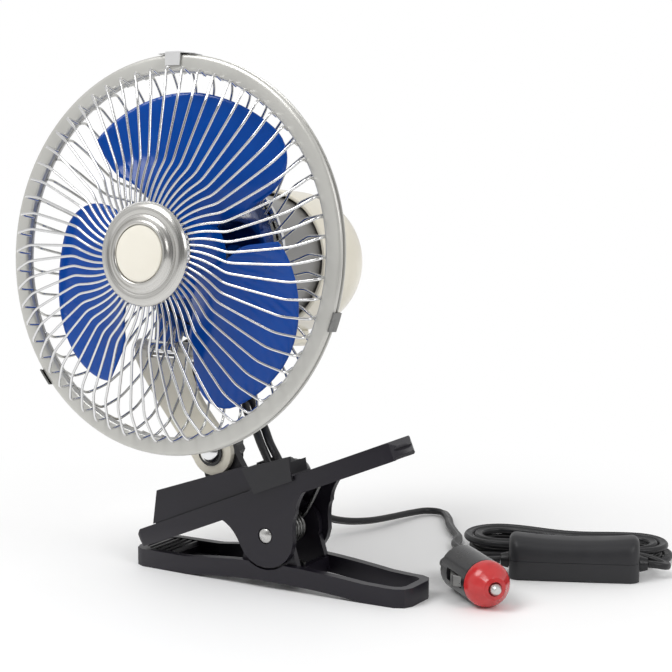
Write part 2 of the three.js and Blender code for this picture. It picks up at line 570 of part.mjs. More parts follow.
function rearHousing() {
  const { r, s, shoulder, end, wall } = housing;
  const depth = end - shoulder;
  const dome = (radius, reach, steps) => Array.from({ length: steps + 1 }, (_, i) => {
    const t = (PI / 2) * (i / steps);
    return [radius * cos(t) ** 0.72, shoulder + reach * sin(t)];
  });
  const outer = dome(r, depth, 7);
  outer[7] = [0, end];
  const inner = dome(r - wall, depth - wall, 5).reverse();
  inner[0] = [0, end - wall];
  const shell = turned([[r - wall, s], [r, s], ...outer, ...inner, [r - wall, s]], 36);
  // chin below, where the leads come out
  const chin = brick(-11, 11, s + 5, shoulder + 3, -r - 6.5, -r + 6);
  const cavity = brick(-8.5, 8.5, s + 8, shoulder, -r - 4, -r + 8);
  const ways = [-4.5, 4.5].map((x) => rod("y", cordR + 0.25, s + 2, s + 12, [x, 0, -r - 2.2], 12));
  return cut(join(shell, cut(chin, rod("y", r - wall, s, shoulder + 4, [0, 0, 0], 48))), cavity, ...ways);
}
place(headFrame, "rear_housing", rearHousing(), "cream");

function ringOfScrews(angles, radius, from, to, headR, shankR, back) {
  return angles.map((angle) => {
    const centre = [radius * cos(rad(angle)), 0, radius * sin(rad(angle))];
    const headPiece = back ? rod("y", headR, to - 1.4, to, centre, 12) : rod("y", headR, from, from + 1.4, centre, 12);
    return join(headPiece, rod("y", shankR, from, to, centre, 8));
  });
}
ringOfScrews([90, 210, 330], 16, bracket.s - 1.7, bellStart + 2.1, 2.9, 1.3, false).forEach((screw, i) =>
  place(headFrame, `motor_screw_${i + 1}`, cut(screw, rod("y", 1.4, bellStart - 0.001, bellStart + 3, [16 * cos(rad([90, 210, 330][i])), 0, 16 * sin(rad([90, 210, 330][i]))], 8)), "steel"));

// ---------------------------------------------------------------- impeller
// Bladed sector in polar form: radius and back-set against the share of the sweep.
function bladeSolid(first) {
  const { hubR, tipR, bladeT, sweep, s0, s1 } = impeller;
  const [nu, nv] = [10, 4];
  const innerR = hubR - 1;
  const tipAt = (u) => {
    const lead = sin((PI / 2) * min(1, u / 0.5)) ** 0.8;
    const trail = min(1, (1 - u) / 0.14);
    return tipR * (0.85 + 0.15 * lead) * (0.64 + 0.36 * sqrt(1 - (1 - trail) ** 2)) * (1 - 0.06 * max(0, u - 0.5));
  };
  const angleAt = (u, v) => {
    const spread = 0.62 + 0.38 * min(1, v * 1.9);
    const centre = 0.5 + 0.1 * (1 - min(1, v * 1.6));
    return rad(first - sweep * (centre + (u - 0.5) * spread));
  };
  const rows = [];
  for (const face of [-1, 1]) {
    for (let i = 0; i <= nu; i++) {
      const u = i / nu;
      for (let j = 0; j <= nv; j++) {
        const v = j / nv;
        const r = innerR + (tipAt(u) - innerR) * v;
        const angle = angleAt(u, v);
        const root = -8 + 19.5 * u;
        const outer = s0 + (s1 - s0) * (u + 0.69 * u * (1 - u));
        const s = root + (outer - root) * v + (face * bladeT) / 2;
        rows.push(r * cos(angle), s, r * sin(angle));
      }
    }
  }
  const at = (face, i, j) => face * (nu + 1) * (nv + 1) + i * (nv + 1) + j;
  const index = [];
  const quad = (p, q, r, s) => index.push(p, q, r, p, r, s);
  for (let i = 0; i < nu; i++) {
    for (let j = 0; j < nv; j++) {
      quad(at(0, i, j), at(0, i + 1, j), at(0, i + 1, j + 1), at(0, i, j + 1));
      quad(at(1, i, j), at(1, i, j + 1), at(1, i + 1, j + 1), at(1, i + 1, j));
    }
    quad(at(0, i, 0), at(1, i, 0), at(1, i + 1, 0), at(0, i + 1, 0));
    quad(at(0, i, nv), at(0, i + 1, nv), at(1, i + 1, nv), at(1, i, nv));
  }
  for (let j = 0; j < nv; j++) {
    quad(at(0, 0, j), at(0, 0, j + 1), at(1, 0, j + 1), at(1, 0, j));
    quad(at(0, nu, j), at(1, nu, j), at(1, nu, j + 1), at(0, nu, j + 1));
  }
  const geometry = new THREE.BufferGeometry();
  geometry.setAttribute("position", new THREE.Float32BufferAttribute(rows, 3));
  geometry.setIndex(index);
  return toSolid(geometry);
}

function impellerSolid() {
  const { hubR, hubS0, hubS1, wall, count, start } = impeller;
  const hub = turned([[0, hubS0], [hubR - 5, hubS0 + 0.6], [hubR - 1.4, hubS0 + 3], [hubR, hubS0 + 6], [hubR, hubS1],
    [hubR - wall, hubS1], [hubR - wall, hubS0 + 7], [6.5, hubS0 + 3.6], [6.5, hubS1 - 2], [0, hubS1 - 2]], 36);
  let body = hub;
  for (let i = 0; i < count; i++) body = join(body, bladeSolid(start + (360 / count) * i));
  return cut(body, rod("y", motor.shaftR + 0.15, hubS0 + 1.2, hubS1 + 2, [0, 0, 0], 16),
    rod("y", 5, hubS0 - 1, hubS0 + 3.2, [0, 0, 0], 20));
}
place(headFrame, "impeller", impellerSolid(), "blue");
place(headFrame, "impeller_nut", cut(rod("y", 4.2, impeller.hubS0 + 0.6, impeller.hubS0 + 2.9, [0, 0, 0], 6),
  rod("y", motor.shaftR + 0.15, impeller.hubS0 + 1.4, impeller.hubS0 + 4, [0, 0, 0], 12)), "brass");

// ---------------------------------------------------------------- guards
// Path of one wire through [radius, s, turn in degrees] stations.
const wirePoint = (r, s, angle) => vec(r * cos(rad(angle)), s, r * sin(rad(angle)));
function cage(stations, count, offset) {
  const wires = Array.from({ length: count }, (_, i) => {
    const base = offset + (360 / count) * i;
    return tube(stations.map(([r, s, turn]) => wirePoint(r, s, base + turn)), guardWire.r, 3);
  });
  return wasm.Manifold.union(wires);
}
// A ring with one flat side at sFlat and its rounded side depth away, forward or back.
function guardRing(sFlat, depth) {
  const [r0, r1] = [rimInner, rim.r1];
  const round = sFlat + depth;
  const profile = [[r0, sFlat], [r0 + 1.8, round], [r1 - 1.8, round], [r1, sFlat], [r0, sFlat]];
  return turned(depth < 0 ? profile : profile.reverse(), 54);
}

const frontStations = [
  [cap.r - 2.5, cap.s + 1.9, 0], [cap.r + 18, cap.s + 3.7, -9.3], [rimInner - 10, cap.s + 8, -7.7],
  [rimInner + 1.2, -7.4, -5.2], [rimInner + 3, -2, -4.6],
];
function frontGuard() {
  const ring = guardRing(-0.2, -rim.t);
  const hubRing = turned([[cap.r - 4, cap.s + 1], [cap.r - 1, cap.s + 1], [cap.r - 1, cap.s + 2.8], [cap.r - 4, cap.s + 2.8],
    [cap.r - 4, cap.s + 1]], 28);
  return join(ring, hubRing, cage(frontStations, guardWire.front, 1));
}
place(headFrame, "front_guard", frontGuard(), "chrome");

const rearStations = [
  [rimInner + 3.4, 1.4, 5], [rimInner + 2.8, 8.5, 5.8], [rimInner - 5, 15.8, 7.4], [rimInner - 22, 20.4, 9.6],
  [backRing.r0 + 2, backRing.s + 1.2, 2],
];
function rearGuard() {
  const ring = guardRing(0.2, rim.t);
  const inner = turned([[backRing.r0, backRing.s], [backRing.r1, backRing.s], [backRing.r1, backRing.s + backRing.t],
    [backRing.r0, backRing.s + backRing.t], [backRing.r0, backRing.s]], 32);
  const tabs = [30, 150, 270].map((angle) =>
    brick(backRing.r0 - 7, backRing.r0 + 1, backRing.s + 1, backRing.s + backRing.t, -3, 3).rotate([0, -angle, 0]));
  const holes = [30, 150, 270].map((angle) => rod("y", 1.5, backRing.s - 1, backRing.s + 4,
    [(backRing.r0 - 3.5) * cos(rad(angle)), 0, (backRing.r0 - 3.5) * sin(rad(angle))], 10));
  return cut(join(ring, inner, ...tabs, cage(rearStations, guardWire.rear, 2)), ...holes);
}
place(headFrame, "rear_guard", rearGuard(), "steel");

// A strip bent over both rings; it leaves the wires clear.
function clipSolid() {
  const { w, t, reach } = rimClip;
  const [front, back] = [-rim.t - 0.2 - gap, rim.t + 0.2 + gap];
  const inner = rim.r1 - reach;
  const outer = rim.r1 + gap + 0.1;
  const shape = outline([[inner, front - t], [outer + t, front - t], [outer + t, back + t], [inner, back + t], [inner, back],
    [outer, back], [outer, front], [inner, front]]);
  const geometry = new THREE.ExtrudeGeometry(shape, { depth: w, bevelEnabled: false });
  return toSolid(geometry.translate(0, 0, -w / 2));
}
clipAngles.forEach((angle, i) => {
  const rings = rod("y", rim.r1 + gap, -rim.t - 0.2 - gap, rim.t + 0.2 + gap, [0, 0, 0], 96);
  place(headFrame, `rim_clip_${i + 1}`, cut(clipSolid().rotate([0, -angle, 0]), rings), "chrome");
});

function frontCap() {
  const { r, s, grooveR, bossR, badgeR } = cap;
  return turned([[0, s - 2.6], [badgeR + 0.3, s - 2.6], [badgeR + 0.6, s - 3.8], [bossR, s - 3.8], [bossR + 1.2, s - 2.4],
    [grooveR - 0.6, s - 1.4], [grooveR + 0.8, s - 1.5], [r - 3, s - 1.3], [r - 0.8, s - 0.4], [r, s + 0.5], [r, s + 0.7], [r - 4.6, s + 0.7],
    [r - 4.6, s - 0.2], [0, s - 0.2]], 40);
}
place(headFrame, "front_cap", frontCap(), "chrome");
place(headFrame, "badge_disc", turned([[0, cap.s - 4.1], [cap.badgeR - 1, cap.s - 3.9],
  [cap.badgeR, cap.s - 3.5], [cap.badgeR, cap.s - 2.9], [0, cap.s - 2.9]], 36), "ivory");
place(headFrame, "cap_plate", turned([[0, cap.s + 3.4], [cap.plateR, cap.s + 3.4], [cap.plateR, cap.s + 4.1],
  [0, cap.s + 4.6]], 40), "darkGloss");

// ---------------------------------------------------------------- leads from the motor to the lead box
const leadR = 1.7;
const chinExit = (x, s) => headPoint(x, housing.s + s, -housing.r - 2.2);
const pocketFloor = upper.top + gap + leadBox.wall;
// Each lead leaves the chin, is held in the saddle on the arm and ends in the pocket on the jaw.
const saddle = { x: 6, y: 1.35, z: 93.4, l: 6, w: 11, h: 5.4, pitch: 4.6, dip: 46 };
const saddlePoint = (along, side) => {
  const t = rad(saddle.dip);
  return vec(saddle.x + along * cos(t) + side * 0.2, saddle.y + side * 0.98, saddle.z - along * sin(t) + side * 0.2);
};
function leadPoints(i) {
  const side = (i - 0.5) * saddle.pitch;
  const x = (i - 0.5) * 9;
  const bend = i === 0 ? [vec(-6, 17, 104), vec(-4.5, 8, 100.5)] : [vec(4, 20, 104.5), vec(1, 12, 100)];
  const above = [chinExit(x, 4.4), chinExit(x, -2), chinExit(x, -9), ...bend];
  const through = [-5.5, -3, 0, 4, 8].map((along) => saddlePoint(along, side));
  // [x, y, z, half the offset between the two leads in x and in y]
  const fall = [[20.5, 3, 86, 0, 2.2], [29.5, 3, 85.2, 0.6, 2.1], [37.9, 1.9, 82, 1.2, 1.8], [43.4, -1.4, 76.9, 1.4, 1.7],
    [50, -5.4, 71.2, 1.5, 1.6], [54.9, -8.4, 65.4, 1.6, 1.4]];
  const share = 2 * i - 1;
  const below = [...fall.map(([x0, y0, z0, dx, dy]) => vec(x0 + share * dx, y0 + share * dy, z0)),
    jawPoint(13.4 + share * 2, -10.2 + share, pocketFloor + 6), jawPoint(13.4 + share * 2, -10.2 + share, pocketFloor + 2.4)];
  return { above: [...above, ...through.slice(0, 3)], below: [...through.slice(2), ...below] };
}
function leadHalves(i) {
  const { above, below } = leadPoints(i);
  const upperHalf = smooth(above, 12);
  const lowerHalf = smooth(below, 16);
  lowerHalf[0].addScaledVector(lowerHalf[1].clone().sub(lowerHalf[0]).normalize(), gap + 0.05);
  place(clipFan, `motor_lead_top_${i + 1}`, tube(upperHalf, leadR, 6), "lead");
  place(clipFan, `motor_lead_${i + 1}`, tube(lowerHalf, leadR, 6), "lead");
}
leadHalves(0);
leadHalves(1);

function leadSaddle() {
  const { l, w, h, dip, x, y, z } = saddle;
  const block = brick(-l / 2, l / 2, -w / 2, w / 2, -h / 2, h / 2);
  return block.rotate([0, dip, 0]).translate([x, y, z]);
}
const saddleBores = [0, 1].map((i) => {
  const side = (i - 0.5) * saddle.pitch;
  return tube([saddlePoint(-9, side), saddlePoint(9, side)], leadR + gap, 12);
});
place(clipFan, "lead_saddle", cut(leadSaddle(), ...saddleBores), "darkGloss");

const glandAt = { a: -4, b: 27.5 };
function cordGland() {
  const y0 = block.half + gap;
  return turned([[cordR + 0.2, y0], [5, y0], [5, y0 + 1.6], [3.9, y0 + 2], [3.2, y0 + 12], [cordR + 0.2, y0 + 12],
    [cordR + 0.2, y0]], 16).translate([glandAt.a, 0, glandAt.b]);
}
place(jawFrame, "cord_gland", cordGland(), "lead");

const boxToWorld = (x, y, z) => {
  const t = rad(boxDim.yaw);
  return vec(boxDim.x + x * cos(t) - y * sin(t), boxDim.y + x * sin(t) + y * cos(t), z);
};
const boxCordZ = 7;

// In-line box: two shells with a drawn-in, saddle-backed top, a rocker on the far side and two strain reliefs.
function boxSection(shrink, z0, z1) {
  const shape = new THREE.Shape();
  const [d, h] = [boxDim.d / 2 - shrink, boxDim.h - shrink];
  shape.moveTo(-d + 1.2, shrink).lineTo(d - 1.2, shrink).lineTo(d, shrink + 1.6).lineTo(d, boxDim.seam);
  shape.quadraticCurveTo(d * 0.86, h * 0.78, d * 0.5, h - 1).quadraticCurveTo(d * 0.3, h, 0, h);
  shape.quadraticCurveTo(-d * 0.3, h, -d * 0.5, h - 1).quadraticCurveTo(-d * 0.86, h * 0.78, -d, boxDim.seam);
  shape.lineTo(-d, shrink + 1.6);
  return crossPlate(shape, -boxDim.l / 2 + shrink, boxDim.l / 2 - shrink).intersect(brick(-50, 50, -50, 50, z0, z1));
}
const rockerZ = boxDim.seam + 4.05;
function boxShells() {
  const saddle = rod("y", 190, -40, 40, [0, 0, boxDim.h + 188.6], 160);
  const ends = floorPlate(roundedRect(0, 0, boxDim.l, boxDim.d, 5), -1, 60);
  const rocker = brick(-10.5, 10.5, 5, 20, rockerZ - 3.25, rockerZ + 3.25);
  const holes = [-1, 1].map((side) => rod("x", 3.4, side * boxDim.l / 2 - 4, side * boxDim.l / 2 + 4, [0, 0, boxCordZ], 16));
  const wall = 2;
  const lowerShell = cut(boxSection(0, 0, boxDim.seam).intersect(ends), boxSection(wall, wall, boxDim.seam + 1), ...holes);
  const upperShell = cut(boxSection(0, boxDim.seam + gap, boxDim.h).intersect(ends), boxSection(wall, 0, boxDim.h), saddle, rocker, ...holes);
  place(boxFrame, "box_bottom_shell", lowerShell, "black");
  place(boxFrame, "box_top_shell", upperShell, "black");
}
boxShells();

function rockerSwitch() {
  const body = brick(-10, 10, 5.6, 8.4, rockerZ - 2.85, rockerZ + 2.85);
  const paddle = brick(-9, 9, 8, 11, rockerZ - 2.35, rockerZ + 2.35);
  const dish = rod("z", 24, rockerZ - 3.5, rockerZ + 3.5, [0, 33.6, 0], 64);
  return cut(join(body, paddle), dish);
}
place(boxFrame, "box_rocker", rockerSwitch(), "darkGloss");

for (const [name, side] of [["box_relief_in", -1], ["box_relief_out", 1]]) {
  const edge = boxDim.l / 2;
  const profile = [[cordR + 0.2, edge - 3], [4.4, edge - 3], [4.4, edge - 2 - gap], [3.1, edge - 2 - gap], [3.1, edge + gap], [3.9, edge + gap],
    [2.9, edge + boxDim.relief], [cordR + 0.2, edge + boxDim.relief], [cordR + 0.2, edge - 3]];
  const relief = turned(profile, 14);
  place(boxFrame, name, relief.rotate([0, 0, side < 0 ? 90 : -90]).translate([0, 0, boxCordZ]), "lead");
}

// Hank: flattened loops that spiral in on the table layer and out again on the next one. A turn is counted
// from the middle of the near run: half a run, fold, run, fold, half a run, in 24 steps.
function hankPoint(w) {
  const { half, foldR, turns, waist, z, climb } = hank;
  const pitch = cordR * 2 + 0.5;
  const straight = half - foldR - (pitch * turns) / 2;
  const r = foldR + pitch * abs(w - turns / 2);
  const step = 24 * (w - Math.floor(w));
  const drawIn = (x) => waist * (0.5 + 0.5 * cos((PI * x) / straight));
  const fold = (share, side) => [side * (straight + r * sin(PI * share)), -side * r * cos(PI * share)];
  const run = (x, side) => [x, side * (r - drawIn(x))];
  let at;
  if (step <= 2.5) at = run((straight * step) / 2.5, -1);
  else if (step <= 9.5) at = fold((step - 2.5) / 7, 1);
  else if (step <= 14.5) at = run(straight * (1 - (2 * (step - 9.5)) / 5), 1);
  else if (step <= 21.5) at = fold((step - 14.5) / 7, -1);
  else at = run(straight * ((step - 24) / 2.5), -1);
  const rise = min(1, max(0, (w - turns / 2 + 0.25) / 0.5));
  return vec(at[0], at[1], z + climb * (0.5 - 0.5 * cos(PI * rise)));
}
function hankPoints() {
  const steps = 24 * hank.turns + 4;
  return Array.from({ length: steps + 1 }, (_, i) => hankPoint((i - 2) / 24));
}
const hankWorld = (p) => {
  const t = rad(hank.yaw);
  return vec(hank.x + p.x * cos(t) - p.y * sin(t), hank.y + p.x * sin(t) + p.y * cos(t), p.z);
};
const hankLocal = hankPoints();
console.log("hank least self gap", leastSelfGap(hankLocal, cordR, 6).toFixed(2));
const hankPath = hankLocal.map(hankWorld);
place(clipFan, "cord_hank", tube(hankPath, cordR, 6), "lead");

// The stretches that lie free: from the clamp to the hank, from the hank to the box, from the box to the plug.
const before = (points, d) => points[0].clone().sub(points[1]).setLength(d).add(points[0]);
const after = (points, d) => points.at(-1).clone().sub(points.at(-2)).setLength(d).add(points.at(-1));
const spots = (list) => list.map(([x, y, z]) => vec(x, y, z));
const glandEnd = jawPoint(glandAt.a, block.half + 12.3 + gap, glandAt.b);
const clampToHank = [glandEnd, glandEnd.clone().add(vec(-0.2, 6, -0.4)), ...spots([[41.5, 48, 41.5], [36.5, 60, 28], [34, 69.5, 16.5],
  [36, 79, 9.6], [41, 89, 6.4], [46.5, 101, 4.8], [50, 116, 3.8], [53, 132, 3], [57.5, 143.5, 2.5], [65, 145.5, 2.3],
  [74, 136, 2.3], [82, 123, 2.3], [90.5, 111.5, 2.3], [96.4, 104.2, 2.3], [99.3, 98.3, 2.3], [101, 92, 2.3], [104.7, 86.6, 2.3],
  [110, 81.9, 2.3], [116.5, 78.9, 2.3], [121.8, 79.2, 2.3]]), before(hankPath, 8), before(hankPath, gap)];
place(clipFan, "cord_lead", tube(smooth(clampToHank, 42), cordR, 8), "lead");

const boxEnd = boxDim.l / 2 + boxDim.relief + gap;
const hankToBox = [after(hankPath, gap), after(hankPath, 9), boxToWorld(36.2, 12.3, 6.4), boxToWorld(41, 9.4, 5.5),
  boxToWorld(43.2, 5.3, 5.2), boxToWorld(41.6, 1.6, 5.8), boxToWorld(boxEnd + 3.7, 0, 6.8), boxToWorld(boxEnd, 0, boxCordZ)];
place(clipFan, "cord_hank_to_box", tube(smooth(hankToBox, 18), cordR, 8), "lead");

const plugToWorld = (x, y, z) => {
  const t = rad(plug.yaw);
  return vec(plug.x + x * cos(t) - y * sin(t), plug.y + x * sin(t) + y * cos(t), plug.r + 0.05 + z);
};
const plugEnd = -plug.barrel / 2 - plug.tailLen - gap;
const boxToPlug = [boxToWorld(-boxEnd, 0, boxCordZ), boxToWorld(-boxEnd - 5, 0, 6.6), ...spots([[130, 57.3, 5], [124.2, 53.8, 3.8],
  [120.9, 48.4, 3.8]]), plugToWorld(plugEnd - 11, 0, -3.6), plugToWorld(plugEnd - 5, 0, -0.4), plugToWorld(plugEnd, 0, 0)];
place(clipFan, "cord_box_to_plug", tube(smooth(boxToPlug, 18), cordR, 8), "lead");

// ---------------------------------------------------------------- plug, along its own X from the tail to the nose
function alongX(profile, sides) {
  return turned(profile, sides).rotate([0, 0, -90]);
}
const tail = -plug.barrel / 2;
const noseAt = plug.barrel / 2 + gap;
const contactSlot = (side) => {
  const [y0, y1] = side < 0 ? [-20, -plug.r + 4.6] : [plug.r - 4.6, 20];
  return brick(-plug.barrel / 2 + 9, plug.barrel / 2 - 3, y0, y1, -2.7, 2.7);
};
function plugBarrel() {
  const { r, barrel } = plug;
  const body = alongX([[3.6, tail], [r - 1.6, tail], [r, tail + 1.8], [r, barrel / 2], [r - 2.2, barrel / 2], [r - 2.2, barrel / 2 - 16],
    [3.6, barrel / 2 - 16], [3.6, tail]], 28);
  return cut(body, contactSlot(-1), contactSlot(1));
}
place(plugFrame, "plug_barrel", plugBarrel(), "darkGloss");

function plugNose() {
  const { r, nose, pinR } = plug;
  const end = noseAt + nose;
  return alongX([[pinR + 0.5, noseAt], [r + 0.02, noseAt], [r + 0.02, noseAt + nose * 0.22], [r - 0.5, noseAt + nose * 0.42],
    [r - 2.1, noseAt + nose * 0.64], [r - 4.6, noseAt + nose * 0.84], [pinR + 2.6, end - 0.6], [pinR + 0.5, end], [pinR + 0.5, noseAt]], 28);
}
place(plugFrame, "plug_nose", plugNose(), "red");

function centrePin() {
  const tip = noseAt + plug.nose + plug.pinOut;
  return alongX([[0, noseAt - 1], [plug.pinR + 1, noseAt - 1], [plug.pinR + 1, noseAt - gap], [plug.pinR, noseAt - gap], [plug.pinR, tip - 1.6],
    [1.6, tip], [0, tip]], 20);
}
place(plugFrame, "centre_pin", centrePin(), "brass");

function fuseBody() {
  return alongX([[0, tail + 17.6], [3, tail + 17.6], [3, noseAt - 6], [0, noseAt - 6]], 16);
}
place(plugFrame, "fuse", fuseBody(), "glass");
place(plugFrame, "pin_spring", alongX([[1.8, noseAt - 5.7], [3, noseAt - 5.7], [3, noseAt - 1.3], [1.8, noseAt - 1.3], [1.8, noseAt - 5.7]], 14),
  "steel");

function sideContact(side) {
  const x0 = -plug.barrel / 2 + 9.6;
  const x1 = plug.barrel / 2 - 3.6;
  const base = plug.r - 3;
  const shape = outline([[x0, base], [x1, base], [x1, base + 1.2], [x1 - 4, base + 4.9], [x1 - 6.5, base + 4.9], [x0 + 3, base + 2], [x0, base + 1.6]]);
  const blade = sidePlate(shape, -2.4, 2.4);
  return blade.rotate([side < 0 ? 90 : -90, 0, 0]);
}
place(plugFrame, "side_contact_near", sideContact(-1), "steel");
place(plugFrame, "side_contact_far", sideContact(1), "steel");

const tailEnd = tail - plug.tailLen;
const plugRelief = alongX([[cordR + 0.2, tailEnd], [2.9, tailEnd], [4.4, tail - gap], [3.3, tail - gap], [3.3, tail + 3], [cordR + 0.2, tail + 3],
  [cordR + 0.2, tailEnd]], 14);
place(plugFrame, "plug_relief", plugRelief, "lead");

export default clipFan;
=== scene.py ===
import json
import math
import bpy
import bmesh
from mathutils import Matrix, Vector

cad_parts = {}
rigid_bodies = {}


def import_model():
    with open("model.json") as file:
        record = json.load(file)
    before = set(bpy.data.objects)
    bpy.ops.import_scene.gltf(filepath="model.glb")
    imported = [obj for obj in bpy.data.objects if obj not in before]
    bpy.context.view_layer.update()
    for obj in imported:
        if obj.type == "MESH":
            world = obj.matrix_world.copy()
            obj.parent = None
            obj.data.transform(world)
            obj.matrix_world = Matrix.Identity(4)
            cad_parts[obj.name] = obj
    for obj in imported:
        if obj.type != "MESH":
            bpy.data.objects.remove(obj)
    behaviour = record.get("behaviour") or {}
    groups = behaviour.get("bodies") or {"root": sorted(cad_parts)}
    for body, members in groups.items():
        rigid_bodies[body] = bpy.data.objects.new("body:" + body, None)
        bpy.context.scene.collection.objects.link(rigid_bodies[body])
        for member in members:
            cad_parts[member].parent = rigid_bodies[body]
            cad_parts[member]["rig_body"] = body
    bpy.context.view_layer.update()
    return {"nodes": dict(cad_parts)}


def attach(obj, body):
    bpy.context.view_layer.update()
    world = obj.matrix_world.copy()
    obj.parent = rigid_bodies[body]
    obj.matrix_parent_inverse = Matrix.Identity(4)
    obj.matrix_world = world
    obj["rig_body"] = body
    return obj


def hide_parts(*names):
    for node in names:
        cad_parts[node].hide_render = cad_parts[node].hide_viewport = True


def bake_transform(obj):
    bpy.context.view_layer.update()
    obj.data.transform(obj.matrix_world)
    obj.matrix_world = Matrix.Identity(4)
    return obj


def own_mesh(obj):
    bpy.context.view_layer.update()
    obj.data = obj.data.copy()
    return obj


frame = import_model()
node = frame["nodes"]

# ---------------------------------------------------------------- studio
# The camera stands where the photographer's did, worked out from the guard ring and the lines on the table.
# A white sweep under and behind, one broad lamp from above left and a weaker one from the right. The room is
# dimmer on the camera's side, which gives the plated parts their darker tones.
camera_data = bpy.data.cameras.new("studio_camera")
camera_data.lens = 96.43
camera_data.sensor_width = 36.0
camera_data.clip_start = 0.05
camera = bpy.data.objects.new("studio_camera", camera_data)
bpy.context.collection.objects.link(camera)
camera.location = (0.4973, -0.6823, 0.2310)
LOOK_DOWN, LOOK_ROUND = 8.2, 31.0
camera.rotation_euler = (math.radians(90 - LOOK_DOWN), 0.0, math.radians(LOOK_ROUND))
bpy.context.scene.camera = camera
bpy.context.scene.view_settings.view_transform = "Standard"


def new_material(name):
    """A material with its Principled shader and node list."""
    material = bpy.data.materials.new(name)
    material.use_nodes = True
    nodes = material.node_tree.nodes
    return material, nodes, material.node_tree.links, nodes["Principled BSDF"]


def put(at_node, values):
    """Sets a node's inputs by name or number."""
    for socket, value in values.items():
        at_node.inputs[socket].default_value = value


def maths(nodes, links, operation, *given):
    """Result of a maths node over sockets or plain numbers."""
    step = nodes.new("ShaderNodeMath")
    step.operation = operation
    for socket, value in zip(step.inputs, given):
        if isinstance(value, float):
            socket.default_value = value
        else:
            links.new(value, socket)
    return step.outputs[0]


def table_white(middle, near, far):
    """Matt white that turns to plain white from near to far, so that only the shadow shows."""
    material, nodes, links, shader = new_material("table_white")
    put(shader, {"Base Color": (0.97, 0.97, 0.97, 1.0), "Roughness": 0.6})
    place = nodes.new("ShaderNodeNewGeometry")
    distance = nodes.new("ShaderNodeVectorMath")
    distance.operation = "DISTANCE"
    put(distance, {1: middle})
    fade = nodes.new("ShaderNodeMapRange")
    fade.interpolation_type = "SMOOTHSTEP"
    put(fade, {"From Min": near, "From Max": far})
    links.new(place.outputs["Position"], distance.inputs[0])
    links.new(distance.outputs["Value"], fade.inputs["Value"])
    rays = nodes.new("ShaderNodeLightPath").outputs
    seen = maths(nodes, links, "MAXIMUM", rays["Is Camera Ray"], rays["Is Glossy Ray"])
    seen = maths(nodes, links, "MAXIMUM", seen, rays["Is Transmission Ray"])
    white = nodes.new("ShaderNodeEmission")
    mix = nodes.new("ShaderNodeMixShader")
    links.new(maths(nodes, links, "MULTIPLY", seen, fade.outputs["Result"]), mix.inputs["Fac"])
    links.new(shader.outputs["BSDF"], mix.inputs[1])
    links.new(white.outputs["Emission"], mix.inputs[2])
    links.new(mix.outputs["Shader"], nodes["Material Output"].inputs["Surface"])
    return material


TABLE_HALF = 3.0
table_corners = [(x * TABLE_HALF, y * TABLE_HALF, 0) for x, y in ((-1, -1), (1, -1), (1, 1), (-1, 1))]
table_mesh = bpy.data.meshes.new("table")
table_mesh.from_pydata(table_corners, [], [(0, 1, 2, 3)])
table_mesh.materials.append(table_white((0.08, 0.0, 0.0), 0.1, 0.34))
table_top = bpy.data.objects.new("table", table_mesh)
bpy.context.collection.objects.link(table_top)

world = bpy.data.worlds.new("studio_world")
bpy.context.scene.world = world
world.use_nodes = True
sky = world.node_tree
put(sky.nodes["Background"], {"Color": (1.0, 1.0, 1.0, 1.0)})
sky_way = sky.nodes.new("ShaderNodeTexCoord")
sky_facing = sky.nodes.new("ShaderNodeVectorMath")
sky_facing.operation = "DOT_PRODUCT"
put(sky_facing, {1: (0.55, -0.82, 0.12)})
sky_level = sky.nodes.new("ShaderNodeMapRange")
sky_level.interpolation_type = "SMOOTHSTEP"
put(sky_level, {"From Min": 0.25, "From Max": 0.95, "To Min": 0.72, "To Max": 0.2})
sky.links.new(sky_way.outputs["Generated"], sky_facing.inputs[0])
sky.links.new(sky_facing.outputs["Value"], sky_level.inputs["Value"])
sky.links.new(sky_level.outputs["Result"], sky.nodes["Background"].inputs["Strength"])
bright = sky.nodes.new("ShaderNodeBackground")
put(bright, {"Color": (1.0, 1.0, 1.0, 1.0)})
sky_rays = sky.nodes.new("ShaderNodeLightPath")
sky_mix = sky.nodes.new("ShaderNodeMixShader")
sky.links.new(sky_rays.outputs["Is Camera Ray"], sky_mix.inputs["Fac"])
sky.links.new(sky.nodes["Background"].outputs["Background"], sky_mix.inputs[1])
sky.links.new(bright.outputs["Background"], sky_mix.inputs[2])
sky.links.new(sky_mix.outputs["Shader"], sky.nodes["World Output"].inputs["Surface"])


def softbox(name, place, aim, size, watts):
    """A square lamp that faces a point."""
    lamp = bpy.data.lights.new(name, "AREA")
    lamp.size = size
    lamp.energy = watts
    holder = bpy.data.objects.new(name, lamp)
    holder.location = place
    holder.rotation_euler = (Vector(aim) - Vector(place)).to_track_quat("-Z", "Y").to_euler()
    bpy.context.collection.objects.link(holder)


lamp_aim = (0.05, 0.0, 0.1)
softbox("lamp_above_left", (-0.35, -0.75, 1.25), lamp_aim, 0.7, 11.0)
softbox("lamp_right", (1.1, -0.3, 0.75), lamp_aim, 0.5, 3.5)

# ---------------------------------------------------------------- cord
# Twin flex, two cores side by side in one black sheath with a groove along the middle. From the gland on the
# clamp it drops to the table, goes into the hank, on to the switch box and from there to the plug.
CORD_R, CORD_THICK = 0.0022, 0.0034


